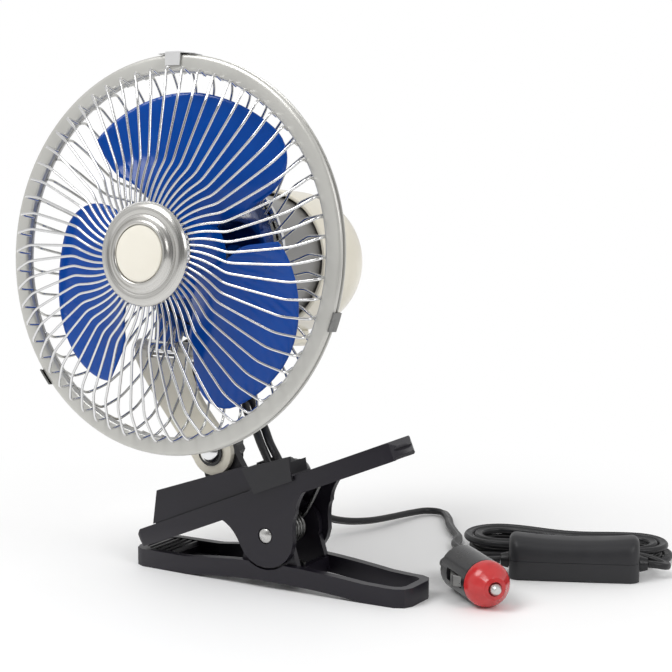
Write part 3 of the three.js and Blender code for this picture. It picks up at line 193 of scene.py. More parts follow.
def spline(points, step):
    """Points a step apart on a smooth centripetal curve through the given ones."""
    p = [Vector(q) for q in points]
    p = [p[0] * 2 - p[1]] + p + [p[-1] * 2 - p[-2]]
    fine = []
    for a, b, c, d in zip(p, p[1:], p[2:], p[3:]):
        ta, tb = 0.0, max((b - a).length, 1e-9) ** 0.5
        tc = tb + max((c - b).length, 1e-9) ** 0.5
        td = tc + max((d - c).length, 1e-9) ** 0.5
        count = max(2, int((c - b).length / step * 2))
        for i in range(count):
            t = tb + (tc - tb) * i / count
            ab = a + (b - a) * ((t - ta) / (tb - ta))
            bc = b + (c - b) * ((t - tb) / (tc - tb))
            cd = c + (d - c) * ((t - tc) / (td - tc))
            abc = ab + (bc - ab) * ((t - ta) / (tc - ta))
            bcd = bc + (cd - bc) * ((t - tb) / (td - tb))
            fine.append(abc + (bcd - abc) * ((t - tb) / (tc - tb)))
    fine.append(p[-2].copy())
    return even(fine, step)


def even(points, step):
    """The same line with its points an equal step apart."""
    run = [0.0]
    for a, b in zip(points, points[1:]):
        run.append(run[-1] + (b - a).length)
    count = max(2, round(run[-1] / step))
    out, k = [], 0
    for i in range(count + 1):
        want = run[-1] * i / count
        while k < len(run) - 2 and run[k + 1] < want:
            k += 1
        span = run[k + 1] - run[k]
        out.append(points[k].lerp(points[k + 1], (want - run[k]) / span if span else 0.0))
    return out


def sweep(points, section):
    """Vertices and faces of a section carried along a line. The section is (across, up) pairs in metres."""
    sides = len(section)
    verts, faces = [], []
    lift = Vector((0, 0, 1))
    for i, p in enumerate(points):
        ahead = points[min(i + 1, len(points) - 1)] - points[max(i - 1, 0)]
        ahead.normalize()
        if i == 0 and abs(ahead.dot(lift)) > 0.9:
            lift = Vector((1, 0, 0))
        lift = (lift - ahead * ahead.dot(lift)).normalized()
        across = ahead.cross(lift)
        verts += [p + across * a + lift * b for a, b in section]
    for i in range(len(points) - 1):
        for k in range(sides):
            a, b = i * sides + k, i * sides + (k + 1) % sides
            faces.append((a, a + sides, b + sides, b))
    faces.append(tuple(range(sides)))
    faces.append(tuple((len(points) - 1) * sides + k for k in reversed(range(sides))))
    return verts, faces


def make_piece(name, verts, faces, material, angle=35):
    """One closed mesh with its normals out, smooth except at edges sharper than the angle."""
    mesh = bpy.data.meshes.new(name)
    mesh.from_pydata([tuple(v) for v in verts], [], faces)
    work = bmesh.new()
    work.from_mesh(mesh)
    bmesh.ops.remove_doubles(work, verts=work.verts, dist=1e-7)
    bmesh.ops.recalc_face_normals(work, faces=work.faces)
    work.to_mesh(mesh)
    work.free()
    mesh.materials.append(material)
    mesh.polygons.foreach_set("use_smooth", [True] * len(mesh.polygons))
    mesh.set_sharp_from_angle(angle=math.radians(angle))
    piece = bpy.data.objects.new(name, mesh)
    bpy.context.collection.objects.link(piece)
    return piece


def round_section(radius, sides):
    """Corners of a round wire or lead."""
    turns = [2 * math.pi * k / sides for k in range(sides)]
    return [(radius * math.cos(turn), radius * math.sin(turn)) for turn in turns]


def twin_section(radius, thick, sides=20):
    """Two round cores that share a web: as wide as twice the radius and thick high."""
    out = []
    core = thick / 2
    offset = radius - core
    for k in range(sides):
        turn = 2 * math.pi * (k + 0.5) / sides
        side = 1 if math.cos(turn) > 0 else -1
        lean = core * (0.6 + 0.4 * min(1.0, abs(math.cos(turn)) * 2.4))
        out.append((side * offset + core * math.cos(turn), lean * math.sin(turn)))
    return out


def speckle(nodes, links, scale, detail=2.0):
    """Noise over the piece's own coordinates."""
    coords = nodes.new("ShaderNodeTexCoord")
    noise = nodes.new("ShaderNodeTexNoise")
    put(noise, {"Scale": scale, "Detail": detail})
    links.new(coords.outputs["Object"], noise.inputs["Vector"])
    return noise


def vary(nodes, links, source, low, high, target):
    """A number that runs from low to high with the noise."""
    span = nodes.new("ShaderNodeMapRange")
    put(span, {"From Min": 0.3, "From Max": 0.7, "To Min": low, "To Max": high})
    links.new(source.outputs["Fac"], span.inputs["Value"])
    links.new(span.outputs["Result"], target)


def tint(nodes, links, source, dark, light, target):
    """A colour that runs from dark to light with the noise."""
    ramp = nodes.new("ShaderNodeMix")
    ramp.data_type = "RGBA"
    put(ramp, {"A": (*dark, 1.0), "B": (*light, 1.0)})
    links.new(source.outputs["Fac"], ramp.inputs["Factor"])
    links.new(ramp.outputs["Result"], target)


def relief(nodes, links, source, depth, strength, shader):
    """Fine bump from the noise, depth in metres."""
    bump = nodes.new("ShaderNodeBump")
    put(bump, {"Distance": depth, "Strength": strength})
    links.new(source.outputs["Fac"], bump.inputs["Height"])
    links.new(bump.outputs["Normal"], shader.inputs["Normal"])


def sheath(name, dark, light, rough):
    """Soft plastic of a cord: satin, with the faint drag marks of extrusion."""
    material, nodes, links, shader = new_material(name)
    broad = speckle(nodes, links, 260.0)
    fine = speckle(nodes, links, 2600.0)
    tint(nodes, links, broad, dark, light, shader.inputs["Base Color"])
    vary(nodes, links, broad, rough - 0.06, rough + 0.08, shader.inputs["Roughness"])
    relief(nodes, links, fine, 0.00003, 0.5, shader)
    put(shader, {"Specular IOR Level": 0.4})
    return material


cord_sheath = sheath("cord_sheath", (0.008, 0.008, 0.009), (0.017, 0.017, 0.019), 0.38)
PIVOT_X, PIVOT_Z, INCLINE = 60, 24.7, math.radians(22.6)


def jaw(a, y, b):
    """Millimetres in the upper jaw's own slant, along it and square to it from the pivot, to metres."""
    return Vector((PIVOT_X + a * math.cos(INCLINE) - b * math.sin(INCLINE), y,
                   PIVOT_Z + a * math.sin(INCLINE) + b * math.cos(INCLINE))) / 1000


def mm(*spots):
    """Spots in millimetres as vectors in metres."""
    return [Vector(s) / 1000 for s in spots]


HANK = dict(x=153.5, y=109.5, yaw=16, half=50, fold=8, turns=4, pitch=4.9, waist=5.2, z=2.3, climb=4.95)
HALF_RUN, FOLD_STEPS = 2.5, 7
TURN_STEPS = 4 * HALF_RUN + 2 * FOLD_STEPS


def turned_about(x, y, z, middle, yaw):
    """A spot turned by yaw degrees and moved to the middle, in millimetres, as a vector in metres."""
    t = math.radians(yaw)
    return Vector((middle[0] + x * math.cos(t) - y * math.sin(t),
                   middle[1] + x * math.sin(t) + y * math.cos(t), z)) / 1000


def hank_point(w):
    """Where the cord lies after w turns of the hank: half a run, fold, run, fold, half a run. The loops
    spiral in on the table and out again on top."""
    straight = HANK["half"] - HANK["fold"] - HANK["pitch"] * HANK["turns"] / 2
    r = HANK["fold"] + HANK["pitch"] * abs(w - HANK["turns"] / 2)

    def run(x, side):
        """A spot on the side's straight run, drawn in at the waist."""
        return x, side * (r - HANK["waist"] * (0.5 + 0.5 * math.cos(math.pi * x / straight)))

    def fold(share, side):
        """A spot on the side's half-circle fold."""
        return side * (straight + r * math.sin(math.pi * share)), -side * r * math.cos(math.pi * share)

    step = TURN_STEPS * (w - math.floor(w))
    if step <= HALF_RUN:
        x, y = run(straight * step / HALF_RUN, -1)
    elif step <= HALF_RUN + FOLD_STEPS:
        x, y = fold((step - HALF_RUN) / FOLD_STEPS, 1)
    elif step <= 3 * HALF_RUN + FOLD_STEPS:
        x, y = run(straight * (1 - (step - HALF_RUN - FOLD_STEPS) / HALF_RUN), 1)
    elif step <= 3 * HALF_RUN + 2 * FOLD_STEPS:
        x, y = fold((step - 3 * HALF_RUN - FOLD_STEPS) / FOLD_STEPS, -1)
    else:
        x, y = run(straight * (step - TURN_STEPS) / HALF_RUN, -1)
    rise = min(1.0, max(0.0, (w - HANK["turns"] / 2 + 0.25) / 0.5))
    z = HANK["z"] + HANK["climb"] * (0.5 - 0.5 * math.cos(math.pi * rise))
    return turned_about(x, y, z, (HANK["x"], HANK["y"]), HANK["yaw"])


def box_at(x, y, z):
    """Millimetres in the switch box's own frame to metres."""
    return turned_about(x, y, z, (172, 74.5), 24)


PLUG_Z = 10.45


def plug_at(x, y, z):
    """Millimetres in the plug's own frame, along its axis, to metres."""
    return turned_about(x, y, PLUG_Z + z, (146.6, 19.9), -40.3)


# In thirds of a step, from two steps before the first turn to two after the last.
thirds = int(3 * (TURN_STEPS * HANK["turns"] + 4))
hank_line = [hank_point((i / 3 - 2) / TURN_STEPS) for i in range(thirds + 1)]
BLOCK_HALF, GLAND_LENGTH = 15.2, 12.6
gland_end = jaw(-4, BLOCK_HALF + GLAND_LENGTH, 27.5)
to_hank = [gland_end, gland_end + Vector((-0.0002, 0.006, -0.0004)), *mm(
    (41.5, 48, 41.5), (36.5, 60, 28), (34, 69.5, 16.5), (36, 79, 9.6), (41, 89, 6.4), (46.5, 101, 4.8),
    (50, 116, 3.8), (53, 132, 3), (57.5, 143.5, 2.5), (65, 145.5, 2.3), (74, 136, 2.3), (82, 123, 2.3),
    (90.5, 111.5, 2.3), (96.4, 104.2, 2.3), (99.3, 98.3, 2.3), (101, 92, 2.3), (104.7, 86.6, 2.3),
    (110, 81.9, 2.3), (116.5, 78.9, 2.3), (121.8, 79.2, 2.3))]
to_hank.append(hank_line[0] + (hank_line[0] - hank_line[1]).normalized() * 0.008)
from_hank = [hank_line[-1] + (hank_line[-1] - hank_line[-2]).normalized() * 0.009, box_at(36.2, 12.3, 6.4),
             box_at(41, 9.4, 5.5), box_at(43.2, 5.3, 5.2), box_at(41.6, 1.6, 5.8), box_at(38, 0, 6.8),
             box_at(34.3, 0, 7)]
fan_line = even(spline(to_hank, 0.002)[:-1] + hank_line + spline(from_hank, 0.002)[1:], 0.0025)
fan_cord = make_piece("fan_cord", *sweep(fan_line, twin_section(CORD_R, CORD_THICK)), cord_sheath, 60)
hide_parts("cord_lead", "cord_hank", "cord_hank_to_box")
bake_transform(fan_cord)


def stand_for(piece, solid, body="fan_head"):
    """Lets a piece stand for its solid, on its body."""
    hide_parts(solid)
    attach(piece, body)
    return piece


plug_spots = [box_at(-34.3, 0, 7), box_at(-39.3, 0, 6.6),
              *mm((130, 57.3, 5), (124.2, 53.8, 3.8), (120.9, 48.4, 3.8)),
              plug_at(-33.55, 0, -3.6), plug_at(-27.55, 0, -0.4), plug_at(-22.55, 0, 0)]
plug_line = spline(plug_spots, 0.0018)
plug_cord = make_piece("plug_cord", *sweep(plug_line, twin_section(CORD_R, CORD_THICK)), cord_sheath, 60)
stand_for(plug_cord, "cord_box_to_plug", "clamp_base")

# ---------------------------------------------------------------- switch box
# Two soft-edged black shells screwed together round the cord, low in the middle of the top, with a rocker on
# the far side and a rubbery relief at each end. The shells are ABS with a fine sparked grain.
def round_edges(piece, width, segments, method, angle=30):
    """Rounds the edges that the method picks: by weight, or by the angle in degrees."""
    rounding = piece.modifiers.new("edge_rounds", "BEVEL")
    rounding.width = width
    rounding.segments = segments
    rounding.limit_method = method
    rounding.angle_limit = math.radians(angle)
    rounding.harden_normals = True


def finished(name, material, width=0.0004, angle=32, segments=2, whole=None):
    """The shown copy of a solid: faces joined, flats made whole, and edges sharper than the angle rounded. An
    edge that is short, or has an end where whole() is false, is only eased."""
    source = node[name]
    work = bmesh.new()
    work.from_mesh(source.data)
    bmesh.ops.remove_doubles(work, verts=work.verts, dist=2e-6)
    bmesh.ops.dissolve_limit(work, angle_limit=math.radians(0.6), verts=work.verts, edges=work.edges)
    weight = work.edges.layers.float.new("bevel_weight_edge")
    for edge in work.edges:
        if edge.calc_face_angle(0.0) > math.radians(angle):
            inside = whole is None or all(whole(v.co * 1000) for v in edge.verts)
            edge[weight] = 1.0 if inside and edge.calc_length() > 1.3 * width else 0.15
    mesh = bpy.data.meshes.new(name + "_skin")
    work.to_mesh(mesh)
    work.free()
    if "custom_normal" in mesh.attributes:
        mesh.attributes.remove(mesh.attributes["custom_normal"])
    mesh.materials.clear()
    mesh.materials.append(material)
    mesh.polygons.foreach_set("use_smooth", [True] * len(mesh.polygons))
    mesh.set_sharp_from_angle(angle=math.radians(angle))
    piece = bpy.data.objects.new(name + "_skin", mesh)
    bpy.context.collection.objects.link(piece)
    round_edges(piece, width, segments, "WEIGHT")
    return stand_for(piece, name, source["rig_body"])


def grained_plastic(name, dark, light, rough, grain=3800.0, depth=0.00004, shine=0.45):
    """Moulded plastic with a fine grain and slightly uneven gloss."""
    material, nodes, links, shader = new_material(name)
    broad = speckle(nodes, links, 70.0, 4.0)
    fine = speckle(nodes, links, grain, 1.0)
    tint(nodes, links, broad, dark, light, shader.inputs["Base Color"])
    vary(nodes, links, broad, rough - 0.05, rough + 0.07, shader.inputs["Roughness"])
    relief(nodes, links, fine, depth, 0.35, shader)
    put(shader, {"Specular IOR Level": shine})
    return material


box_abs = grained_plastic("box_abs", (0.014, 0.014, 0.016), (0.024, 0.024, 0.027), 0.46)
gloss_black = grained_plastic("gloss_black", (0.008, 0.008, 0.01), (0.014, 0.014, 0.016), 0.16, 900.0,
                              0.000012)
BOX_L, BOX_D, BOX_H, SEAM = 60, 22, 20.6, 9
CORNER_R, END_R, SIDE_BOW, BACK_DIP, TOP_EASE = 5, 3.4, 0.25, 1.9, 0.3


def round_end(x, r):
    """How far a rounding of radius r at the ends of the box draws in at x."""
    into = max(0.0, abs(x) - (BOX_L / 2 - r))
    return r - math.sqrt(max(0.0, r ** 2 - into ** 2))


def box_plan(x):
    """Half the depth of the box at x: slightly bowed sides and round corners."""
    return BOX_D / 2 - SIDE_BOW * (2 * x / BOX_L) ** 2 - round_end(x, CORNER_R)


def box_top(x):
    """Height of the top at x: low in the middle, round at the ends."""
    return BOX_H - TOP_EASE - BACK_DIP * (1 - (2 * x / BOX_L) ** 2) - round_end(x, END_R)


def loft_faces(rows, n):
    """Faces of a closed body whose verts come in rows, one section of n corners after another."""
    faces = [(k * n + i, k * n + (i + 1) % n, (k + 1) * n + (i + 1) % n, (k + 1) * n + i)
             for k in range(rows - 1) for i in range(n)]
    return faces + [tuple(range(n)), tuple((rows - 1) * n + i for i in reversed(range(n)))]


def box_shell(name, solid, section, low, top, steps=24):
    """A shell lofted along the box through sections of (share of the half depth, share of the height)."""
    verts = []
    for k in range(-steps, steps + 1):
        x = BOX_L / 2 * math.sin(math.pi / 2 * k / steps)
        d, h = box_plan(x), top(x) - low
        verts += [box_at(x, d * across, low + h * up) for across, up in section]
    piece = make_piece(name, verts, loft_faces(2 * steps + 1, len(section)), box_abs, 40)
    round_edges(piece, 0.0009, 3, "ANGLE", 40)
    return stand_for(piece, solid, "clamp_base")


shares = [k / 10 for k in range(11)]
side_rise = [(1 - 0.05 * t - 0.13 * t * t - 0.32 * t ** 4, 0.93 * (1 - (1 - t) ** 1.25)) for t in shares]
crown = [(0.42, 0.968), (0.3, 0.988), (0.15, 0.997)]
upper_half = side_rise + crown
upper_section = upper_half + [(0, 1)] + [(-across, up) for across, up in reversed(upper_half)]
lower_section = [(1, 1), (1, 0.16), (0.97, 0.05), (0.9, 0), (-0.9, 0), (-0.97, 0.05), (-1, 0.16), (-1, 1)]
box_upper = box_shell("switch_box_upper", "box_top_shell", upper_section, SEAM + 0.12, box_top)
box_lower = box_shell("switch_box_lower", "box_bottom_shell", lower_section, 0.0, lambda x: SEAM)


def cut_slot(piece, corners, place):
    """Takes a box-shaped slot out of a piece. Its corners are in the frame that place() turns into metres."""
    (x0, y0, z0), (x1, y1, z1) = corners
    spots = [place(x, y, z) for x in (x0, x1) for y in (y0, y1) for z in (z0, z1)]
    faces = [(0, 1, 3, 2), (4, 6, 7, 5), (0, 4, 5, 1), (2, 3, 7, 6), (0, 2, 6, 4), (1, 5, 7, 3)]
    cutter = make_piece("slot_cutter", spots, faces, box_abs)
    taking = piece.modifiers.new("slot", "BOOLEAN")
    taking.operation = "DIFFERENCE"
    taking.object = cutter
    piece.modifiers.move(len(piece.modifiers) - 1, 0)
    bpy.context.view_layer.update()
    cut = bpy.data.meshes.new_from_object(piece.evaluated_get(bpy.context.evaluated_depsgraph_get()))
    piece.modifiers.clear()
    piece.data = cut
    bpy.data.objects.remove(cutter)


rocker_window = ((-10.6, 4, 9.6), (10.6, 20, 16.5))
cut_slot(box_upper, rocker_window, box_at)
box_pieces = [box_upper, box_lower,
              finished("box_rocker", gloss_black, 0.0003),
              finished("box_relief_in", cord_sheath, 0.0002),
              finished("box_relief_out", cord_sheath, 0.0002)]

# ---------------------------------------------------------------- plug
# Lighter-socket plug: black barrel, clear red nose, steel tip pin on a spring, and a sprung strip in a slot
# on each side. The glass fuse lies inside.
def metal(name, dark, light, rough, scale=90.0):
    """Plated or bare metal with slightly uneven gloss."""
    material, nodes, links, shader = new_material(name)
    put(shader, {"Metallic": 1.0})
    broad = speckle(nodes, links, scale, 3.0)
    tint(nodes, links, broad, dark, light, shader.inputs["Base Color"])
    vary(nodes, links, broad, max(0.02, rough - 0.04), rough + 0.05, shader.inputs["Roughness"])
    relief(nodes, links, broad, 0.000006, 0.4, shader)
    return material


chrome_plate = metal("chrome_plate", (0.72, 0.72, 0.73), (0.86, 0.86, 0.86), 0.09)
zinc_steel = metal("zinc_steel", (0.5, 0.5, 0.49), (0.66, 0.65, 0.63), 0.28, 400.0)
turned_brass = metal("turned_brass", (0.6, 0.44, 0.16), (0.74, 0.57, 0.25), 0.22, 500.0)
plug_black = grained_plastic("plug_black", (0.01, 0.01, 0.011), (0.018, 0.018, 0.02), 0.24, 1400.0, 0.00002)
red_clear, red_nodes, red_links, red_shader = new_material("red_clear")
red_speck = speckle(red_nodes, red_links, 300.0)
tint(red_nodes, red_links, red_speck, (0.7, 0.035, 0.04), (0.84, 0.07, 0.07), red_shader.inputs["Base Color"])
relief(red_nodes, red_links, red_speck, 0.00002, 0.3, red_shader)
put(red_shader, {"Roughness": 0.16, "Transmission Weight": 0.35, "IOR": 1.49})
fuse_glass, fuse_nodes, fuse_links, fuse_shader = new_material("fuse_glass")
relief(fuse_nodes, fuse_links, speckle(fuse_nodes, fuse_links, 500.0), 0.00001, 0.2, fuse_shader)
put(fuse_shader, {"Transmission Weight": 1.0, "Roughness": 0.05})
SPRING_FROM, SPRING_TO, SPRING_TURNS, SPRING_R = 8.95, 13.2, 5, 2.35


def plug_spring_line(steps=90):
    """The wire of the spring behind the tip pin."""
    line = []
    for k in range(steps + 1):
        turn = 2 * math.pi * SPRING_TURNS * k / steps
        along = SPRING_FROM + (SPRING_TO - SPRING_FROM) * k / steps
        line.append(plug_at(along, SPRING_R * math.cos(turn), SPRING_R * math.sin(turn)))
    return line


pin_wire = round_section(0.0003, 8)
pin_spring = make_piece("plug_spring", *sweep(plug_spring_line(), pin_wire), zinc_steel, 70)
stand_for(pin_spring, "pin_spring", "clamp_base")
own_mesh(pin_spring)
contact_steel = metal("contact_steel", (0.14, 0.14, 0.14), (0.26, 0.26, 0.25), 0.3, 400.0)
plug_pieces = [finished("plug_barrel", plug_black, 0.0004),
               finished("plug_nose", red_clear, 0.0003, 40),
               finished("plug_relief", cord_sheath, 0.0002),
               finished("centre_pin", zinc_steel, 0.0002),
               finished("fuse", fuse_glass, 0.0001),
               pin_spring,
               finished("side_contact_near", contact_steel, 0.0002),
               finished("side_contact_far", contact_steel, 0.0002)]

# ---------------------------------------------------------------- clamp
# Two black moulded levers on one pivot. They are glass-filled nylon with a fine sparked grain, so the light
# lies dull on the flats and brighter on the worn edges.
clamp_nylon = grained_plastic("clamp_nylon", (0.0075, 0.006, 0.0105), (0.014, 0.012, 0.0185), 0.33,
                              shine=0.38)
pocket_nylon = grained_plastic("pocket_nylon", (0.011, 0.0105, 0.013), (0.02, 0.0195, 0.023), 0.42)
PLATE_TOP, PLATE_T, GRIP_END_FROM = 21.6, 3, 128
finished("lower_jaw", clamp_nylon, 0.0011, segments=3)

# The lever is flat under the grip, and its plate lies open behind the lead box: each is cut by a box that
# reaches from one corner to the other. The edges at the grip's end are only eased.
under_grip = ((61, -12, 5), (67, 12, 12.97))
behind_lead_box = ((0.75, -4.9, 21.5), (30, 20, 40))
lever_shell = finished("upper_jaw", clamp_nylon, 0.0011, segments=3, whole=lambda v: v.x < GRIP_END_FROM)
cut_slot(lever_shell, under_grip, jaw)
block_shell = finished("mount_block", clamp_nylon, 0.0008, segments=3)
cut_slot(block_shell, behind_lead_box, jaw)
finished("lead_box", pocket_nylon, 0.0007, segments=3)

# The block and the lead box sit on the plate on low ribs that close the joint.
rib_low, rib_high = PLATE_TOP - 0.2, PLATE_TOP + 0.7
for name, a0, a1, y0, y1 in (("block_seat", -60, 0.4, -14.2, 14.2),
                             ("lead_box_seat", 1.3, 27.4, -18.7, -5.3)):
    rib_side = ((a0, rib_low), (a1, rib_low), (a1, rib_high), (a0, rib_high))
    rib_corners = [jaw(a, y, b) for y in (y0, y1) for a, b in rib_side]
    seat_rib = make_piece(name, rib_corners, loft_faces(2, 4), clamp_nylon)
    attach(seat_rib, "clamp_lever")

# Pivot: a plated screw through the ears with a nut behind it, and the wound clamp spring round it.
finished("pivot_pin", zinc_steel, 0.0002)
finished("pivot_nut", zinc_steel, 0.0002)
CLAMP_WIRE_R, LEG_GAP = 0.95, 0.3


def torsion_line(r=6.6, turns=6, rest=168, first=214, pitch=2.4, steps=320):
    """The wire of the clamp spring, leg to leg: whole turns and the rest in degrees, from the first angle.
    One leg bears on the arched web of the lower frame, the other under the lever's plate."""
    total = turns * 2 * math.pi + math.radians(rest)
    y0 = -pitch * total / (4 * math.pi)
    coil = []
    for i in range(steps + 1):
        angle = math.radians(first) - total * i / steps
        along = y0 + pitch * total * i / (2 * math.pi * steps)
        coil.append(Vector((PIVOT_X + r * math.cos(angle), along, PIVOT_Z + r * math.sin(angle))))
    web_foot, web_rise, leg_x, web_end_x = 7.5, 3.5, 75, 113
    web_top = web_foot + web_rise * math.sin((web_end_x - leg_x) / (web_end_x - PIVOT_X) * math.pi / 2)
    leg_z = web_top + CLAMP_WIRE_R + LEG_GAP
    leg_in = [Vector((leg_x + 0.5, y0, leg_z)), Vector((65, y0, leg_z + 1.6)), coil[0] + Vector((4.2, 0, -5))]
    under_plate = jaw(25, coil[-1].y, PLATE_TOP - PLATE_T - CLAMP_WIRE_R - LEG_GAP) * 1000
    leg_out = [coil[-1] + Vector((3.4, 0, 4.6)), under_plate]
    return spline([p / 1000 for p in [*leg_in, *coil, *leg_out]], 0.0008)


clamp_section = round_section(CLAMP_WIRE_R / 1000, 10)
clamp_spring = make_piece("clamp_spring", *sweep(torsion_line(), clamp_section), contact_steel, 60)
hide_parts("torsion_spring")
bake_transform(clamp_spring)

finished("cord_gland", cord_sheath, 0.0002)

# ---------------------------------------------------------------- arm
# Cream stove-enamelled steel strip, pressed with stiffened edges and rolled over at the top for the nod pin.
def enamel(name, dark, light, rough, metallic=0.0):
    """Stoved enamel or paint over metal, with the faint ripple of a sprayed coat."""
    material, nodes, links, shader = new_material(name)
    broad = speckle(nodes, links, 45.0, 3.0)
    orange_peel = speckle(nodes, links, 900.0, 1.0)
    tint(nodes, links, broad, dark, light, shader.inputs["Base Color"])
    vary(nodes, links, broad, rough - 0.04, rough + 0.06, shader.inputs["Roughness"])
    relief(nodes, links, orange_peel, 0.00002, 0.25, shader)
    put(shader, {"Metallic": metallic, "Coat Weight": 0.35, "Coat Roughness": 0.12})
    return material


cream_enamel = enamel("cream_enamel", (0.78, 0.73, 0.6), (0.85, 0.805, 0.685), 0.32)
finished("arm", cream_enamel, 0.0005)
finished("swing_screw", chrome_plate, 0.0002)
finished("swing_washer", gloss_black, 0.0002)
finished("swing_knob", gloss_black, 0.0003)
finished("nod_pin", chrome_plate, 0.0002)
finished("nod_nut", zinc_steel, 0.0002)
finished("lead_saddle", gloss_black, 0.0004)

# ---------------------------------------------------------------- motor leads
# Two thin black leads from the chin of the cover to the pocket on the clamp, held in the saddle on the arm.
# Below the saddle they run side by side, one in front of the other, and drop into the pocket.
HEAD_X, HEAD_Y, HEAD_Z, TILT = 17.9, -28, 151.3, math.radians(6.6)


def head(x, s, v):
    """Millimetres in the head's own frame (side, back, up) to metres."""
    return Vector((HEAD_X + x, HEAD_Y + s * math.cos(TILT) + v * math.sin(TILT),
                   HEAD_Z - s * math.sin(TILT) + v * math.cos(TILT))) / 1000


SADDLE_X, SADDLE_Y, SADDLE_Z, DIP = 6, 1.35, 93.4, math.radians(46)


def saddle_at(along, side):
    """Millimetres along and across the leads where the saddle holds them, to metres."""
    return Vector((SADDLE_X + along * math.cos(DIP) + side * 0.2, SADDLE_Y + side * 0.98,
                   SADDLE_Z - along * math.sin(DIP) + side * 0.2)) / 1000


LEAD_R, POCKET_WALL, COVER_FROM = 0.00195, 1.7, 76
POCKET = PLATE_TOP + 0.3 + POCKET_WALL
for number, share in ((1, -1), (2, 1)):
    chin = [head(4.5 * share, COVER_FROM + s, -37.2) for s in (4.4, -2, -9)]
    bend = mm((-6, 17, 104), (-4.5, 8, 100.5)) if number == 1 else mm((4, 20, 104.5), (1, 12, 100))
    through = [saddle_at(along, 2.3 * share) for along in (-5.5, -3, 0, 4, 8)]
    fall = [(20.5, 3, 86, 0, 2.2), (29.5, 3, 85.2, 0.6, 2.1), (37.9, 1.9, 82, 1.2, 1.8),
            (43.4, -1.4, 76.9, 1.4, 1.7), (50, -5.4, 71.2, 1.5, 1.6), (54.9, -8.4, 65.4, 1.6, 1.4)]
    below = [Vector((x + share * dx, y + share * dy, z)) / 1000 for x, y, z, dx, dy in fall]
    below += [jaw(13.4 + 2 * share, -10.2 + share, POCKET + drop) for drop in (6, 2.4)]
    top_line = spline([*chin, *bend, *through[:3]], 0.0016)
    low_line = spline([*through[2:], *below], 0.0016)
    lead = round_section(LEAD_R, 14)
    top_lead = make_piece(f"motor_lead_upper_{number}", *sweep(top_line, lead), cord_sheath, 60)
    low_lead = make_piece(f"motor_lead_lower_{number}", *sweep(low_line, lead), cord_sheath, 60)
    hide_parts(f"motor_lead_top_{number}")
    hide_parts(f"motor_lead_{number}")
    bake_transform(top_lead)
    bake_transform(low_lead)

# ---------------------------------------------------------------- motor
# A plated bracket plate carries the motor: front bell, grey can, and a cream cover, spun from sheet, behind.
# The leads come out of the cover's chin, below.
def turned(name, profile, material, sides=128, angle=35):
    """A closed (radius, back) profile in millimetres turned about the fan's axis."""
    verts, faces = [], []
    n = len(profile) - 1
    for k in range(sides):
        turn = 2 * math.pi * k / sides
        verts += [head(r * math.cos(turn), s, r * math.sin(turn)) for r, s in profile[:n]]
        after = (k + 1) % sides
        for i in range(n):
            faces.append((k * n + i, k * n + (i + 1) % n, after * n + (i + 1) % n, after * n + i))
    return make_piece(name, verts, faces, material, angle)


def curve_through(stations):
    """A smooth (radius, back) line through the given ones, in millimetres."""
    return [(p.x, p.y) for p in spline([(r, s, 0) for r, s in stations], 0.4)]


finished("motor_bracket", chrome_plate, 0.0003)
grey_satin = enamel("grey_satin", (0.19, 0.186, 0.18), (0.235, 0.23, 0.222), 0.34)
bell_plate = metal("bell_plate", (0.5, 0.5, 0.49), (0.62, 0.61, 0.6), 0.3, 300.0)
finished("motor_front_bell", bell_plate, 0.0006, segments=3)
finished("motor_can", grey_satin, 0.0006, segments=3)
ferrite = grained_plastic("ferrite", (0.03, 0.03, 0.032), (0.06, 0.06, 0.062), 0.7, 2500.0)
copper_core = metal("copper_core", (0.42, 0.2, 0.09), (0.6, 0.3, 0.15), 0.35, 700.0)
for name in ("front_bush", "rear_bush", "impeller_nut"):
    finished(name, turned_brass, 0.0001)
for name in ("magnet_left", "magnet_right"):
    finished(name, ferrite, 0.0002)
finished("armature", copper_core, 0.0001)
for name in ("motor_shaft", "motor_screw_1", "motor_screw_2", "motor_screw_3"):
    finished(name, zinc_steel, 0.0001)

COVER_R, SHOULDER, COVER_TO, COVER_WALL = 35, 101, 133, 2.2


def dome(radius, reach, steps=30):
    """The blunt round back of the cover from the shoulder, as (radius, back) spots."""
    return [(radius * max(0.0, math.cos(math.pi / 2 * i / steps)) ** 0.72,
             SHOULDER + reach * math.sin(math.pi / 2 * i / steps)) for i in range(steps + 1)]


def cover_profile():
    """The cover from its inner lip over the back and in again."""
    inner_r, reach = COVER_R - COVER_WALL, COVER_TO - SHOULDER
    lip = [(inner_r, COVER_FROM + 0.5), (inner_r + 0.5, COVER_FROM), (COVER_R - 0.7, COVER_FROM),
           (COVER_R, COVER_FROM + 0.7)]
    return [*lip, *dome(COVER_R, reach), *reversed(dome(inner_r, reach - COVER_WALL)), lip[0]]


stand_for(turned("motor_cover", cover_profile(), cream_enamel, 96, 40), "rear_housing")


def chin_block():
    """The chin under the cover, a block with its two lower corners cut off."""
    half, corner = 11, 1.5
    high, low = -COVER_R + 1.6, -COVER_R - 6.5
    outline = [(-half, high), (-half, low + corner), (corner - half, low), (half - corner, low),
               (half, low + corner), (half, high)]
    corners = [head(x, s, v) for s in (COVER_FROM + 5, SHOULDER + 3) for x, v in outline]
    piece = make_piece("cover_chin", corners, loft_faces(2, len(outline)), cream_enamel)
    round_edges(piece, 0.0007, 3, "ANGLE")
    return piece


stand_for(chin_block(), "rear_housing")

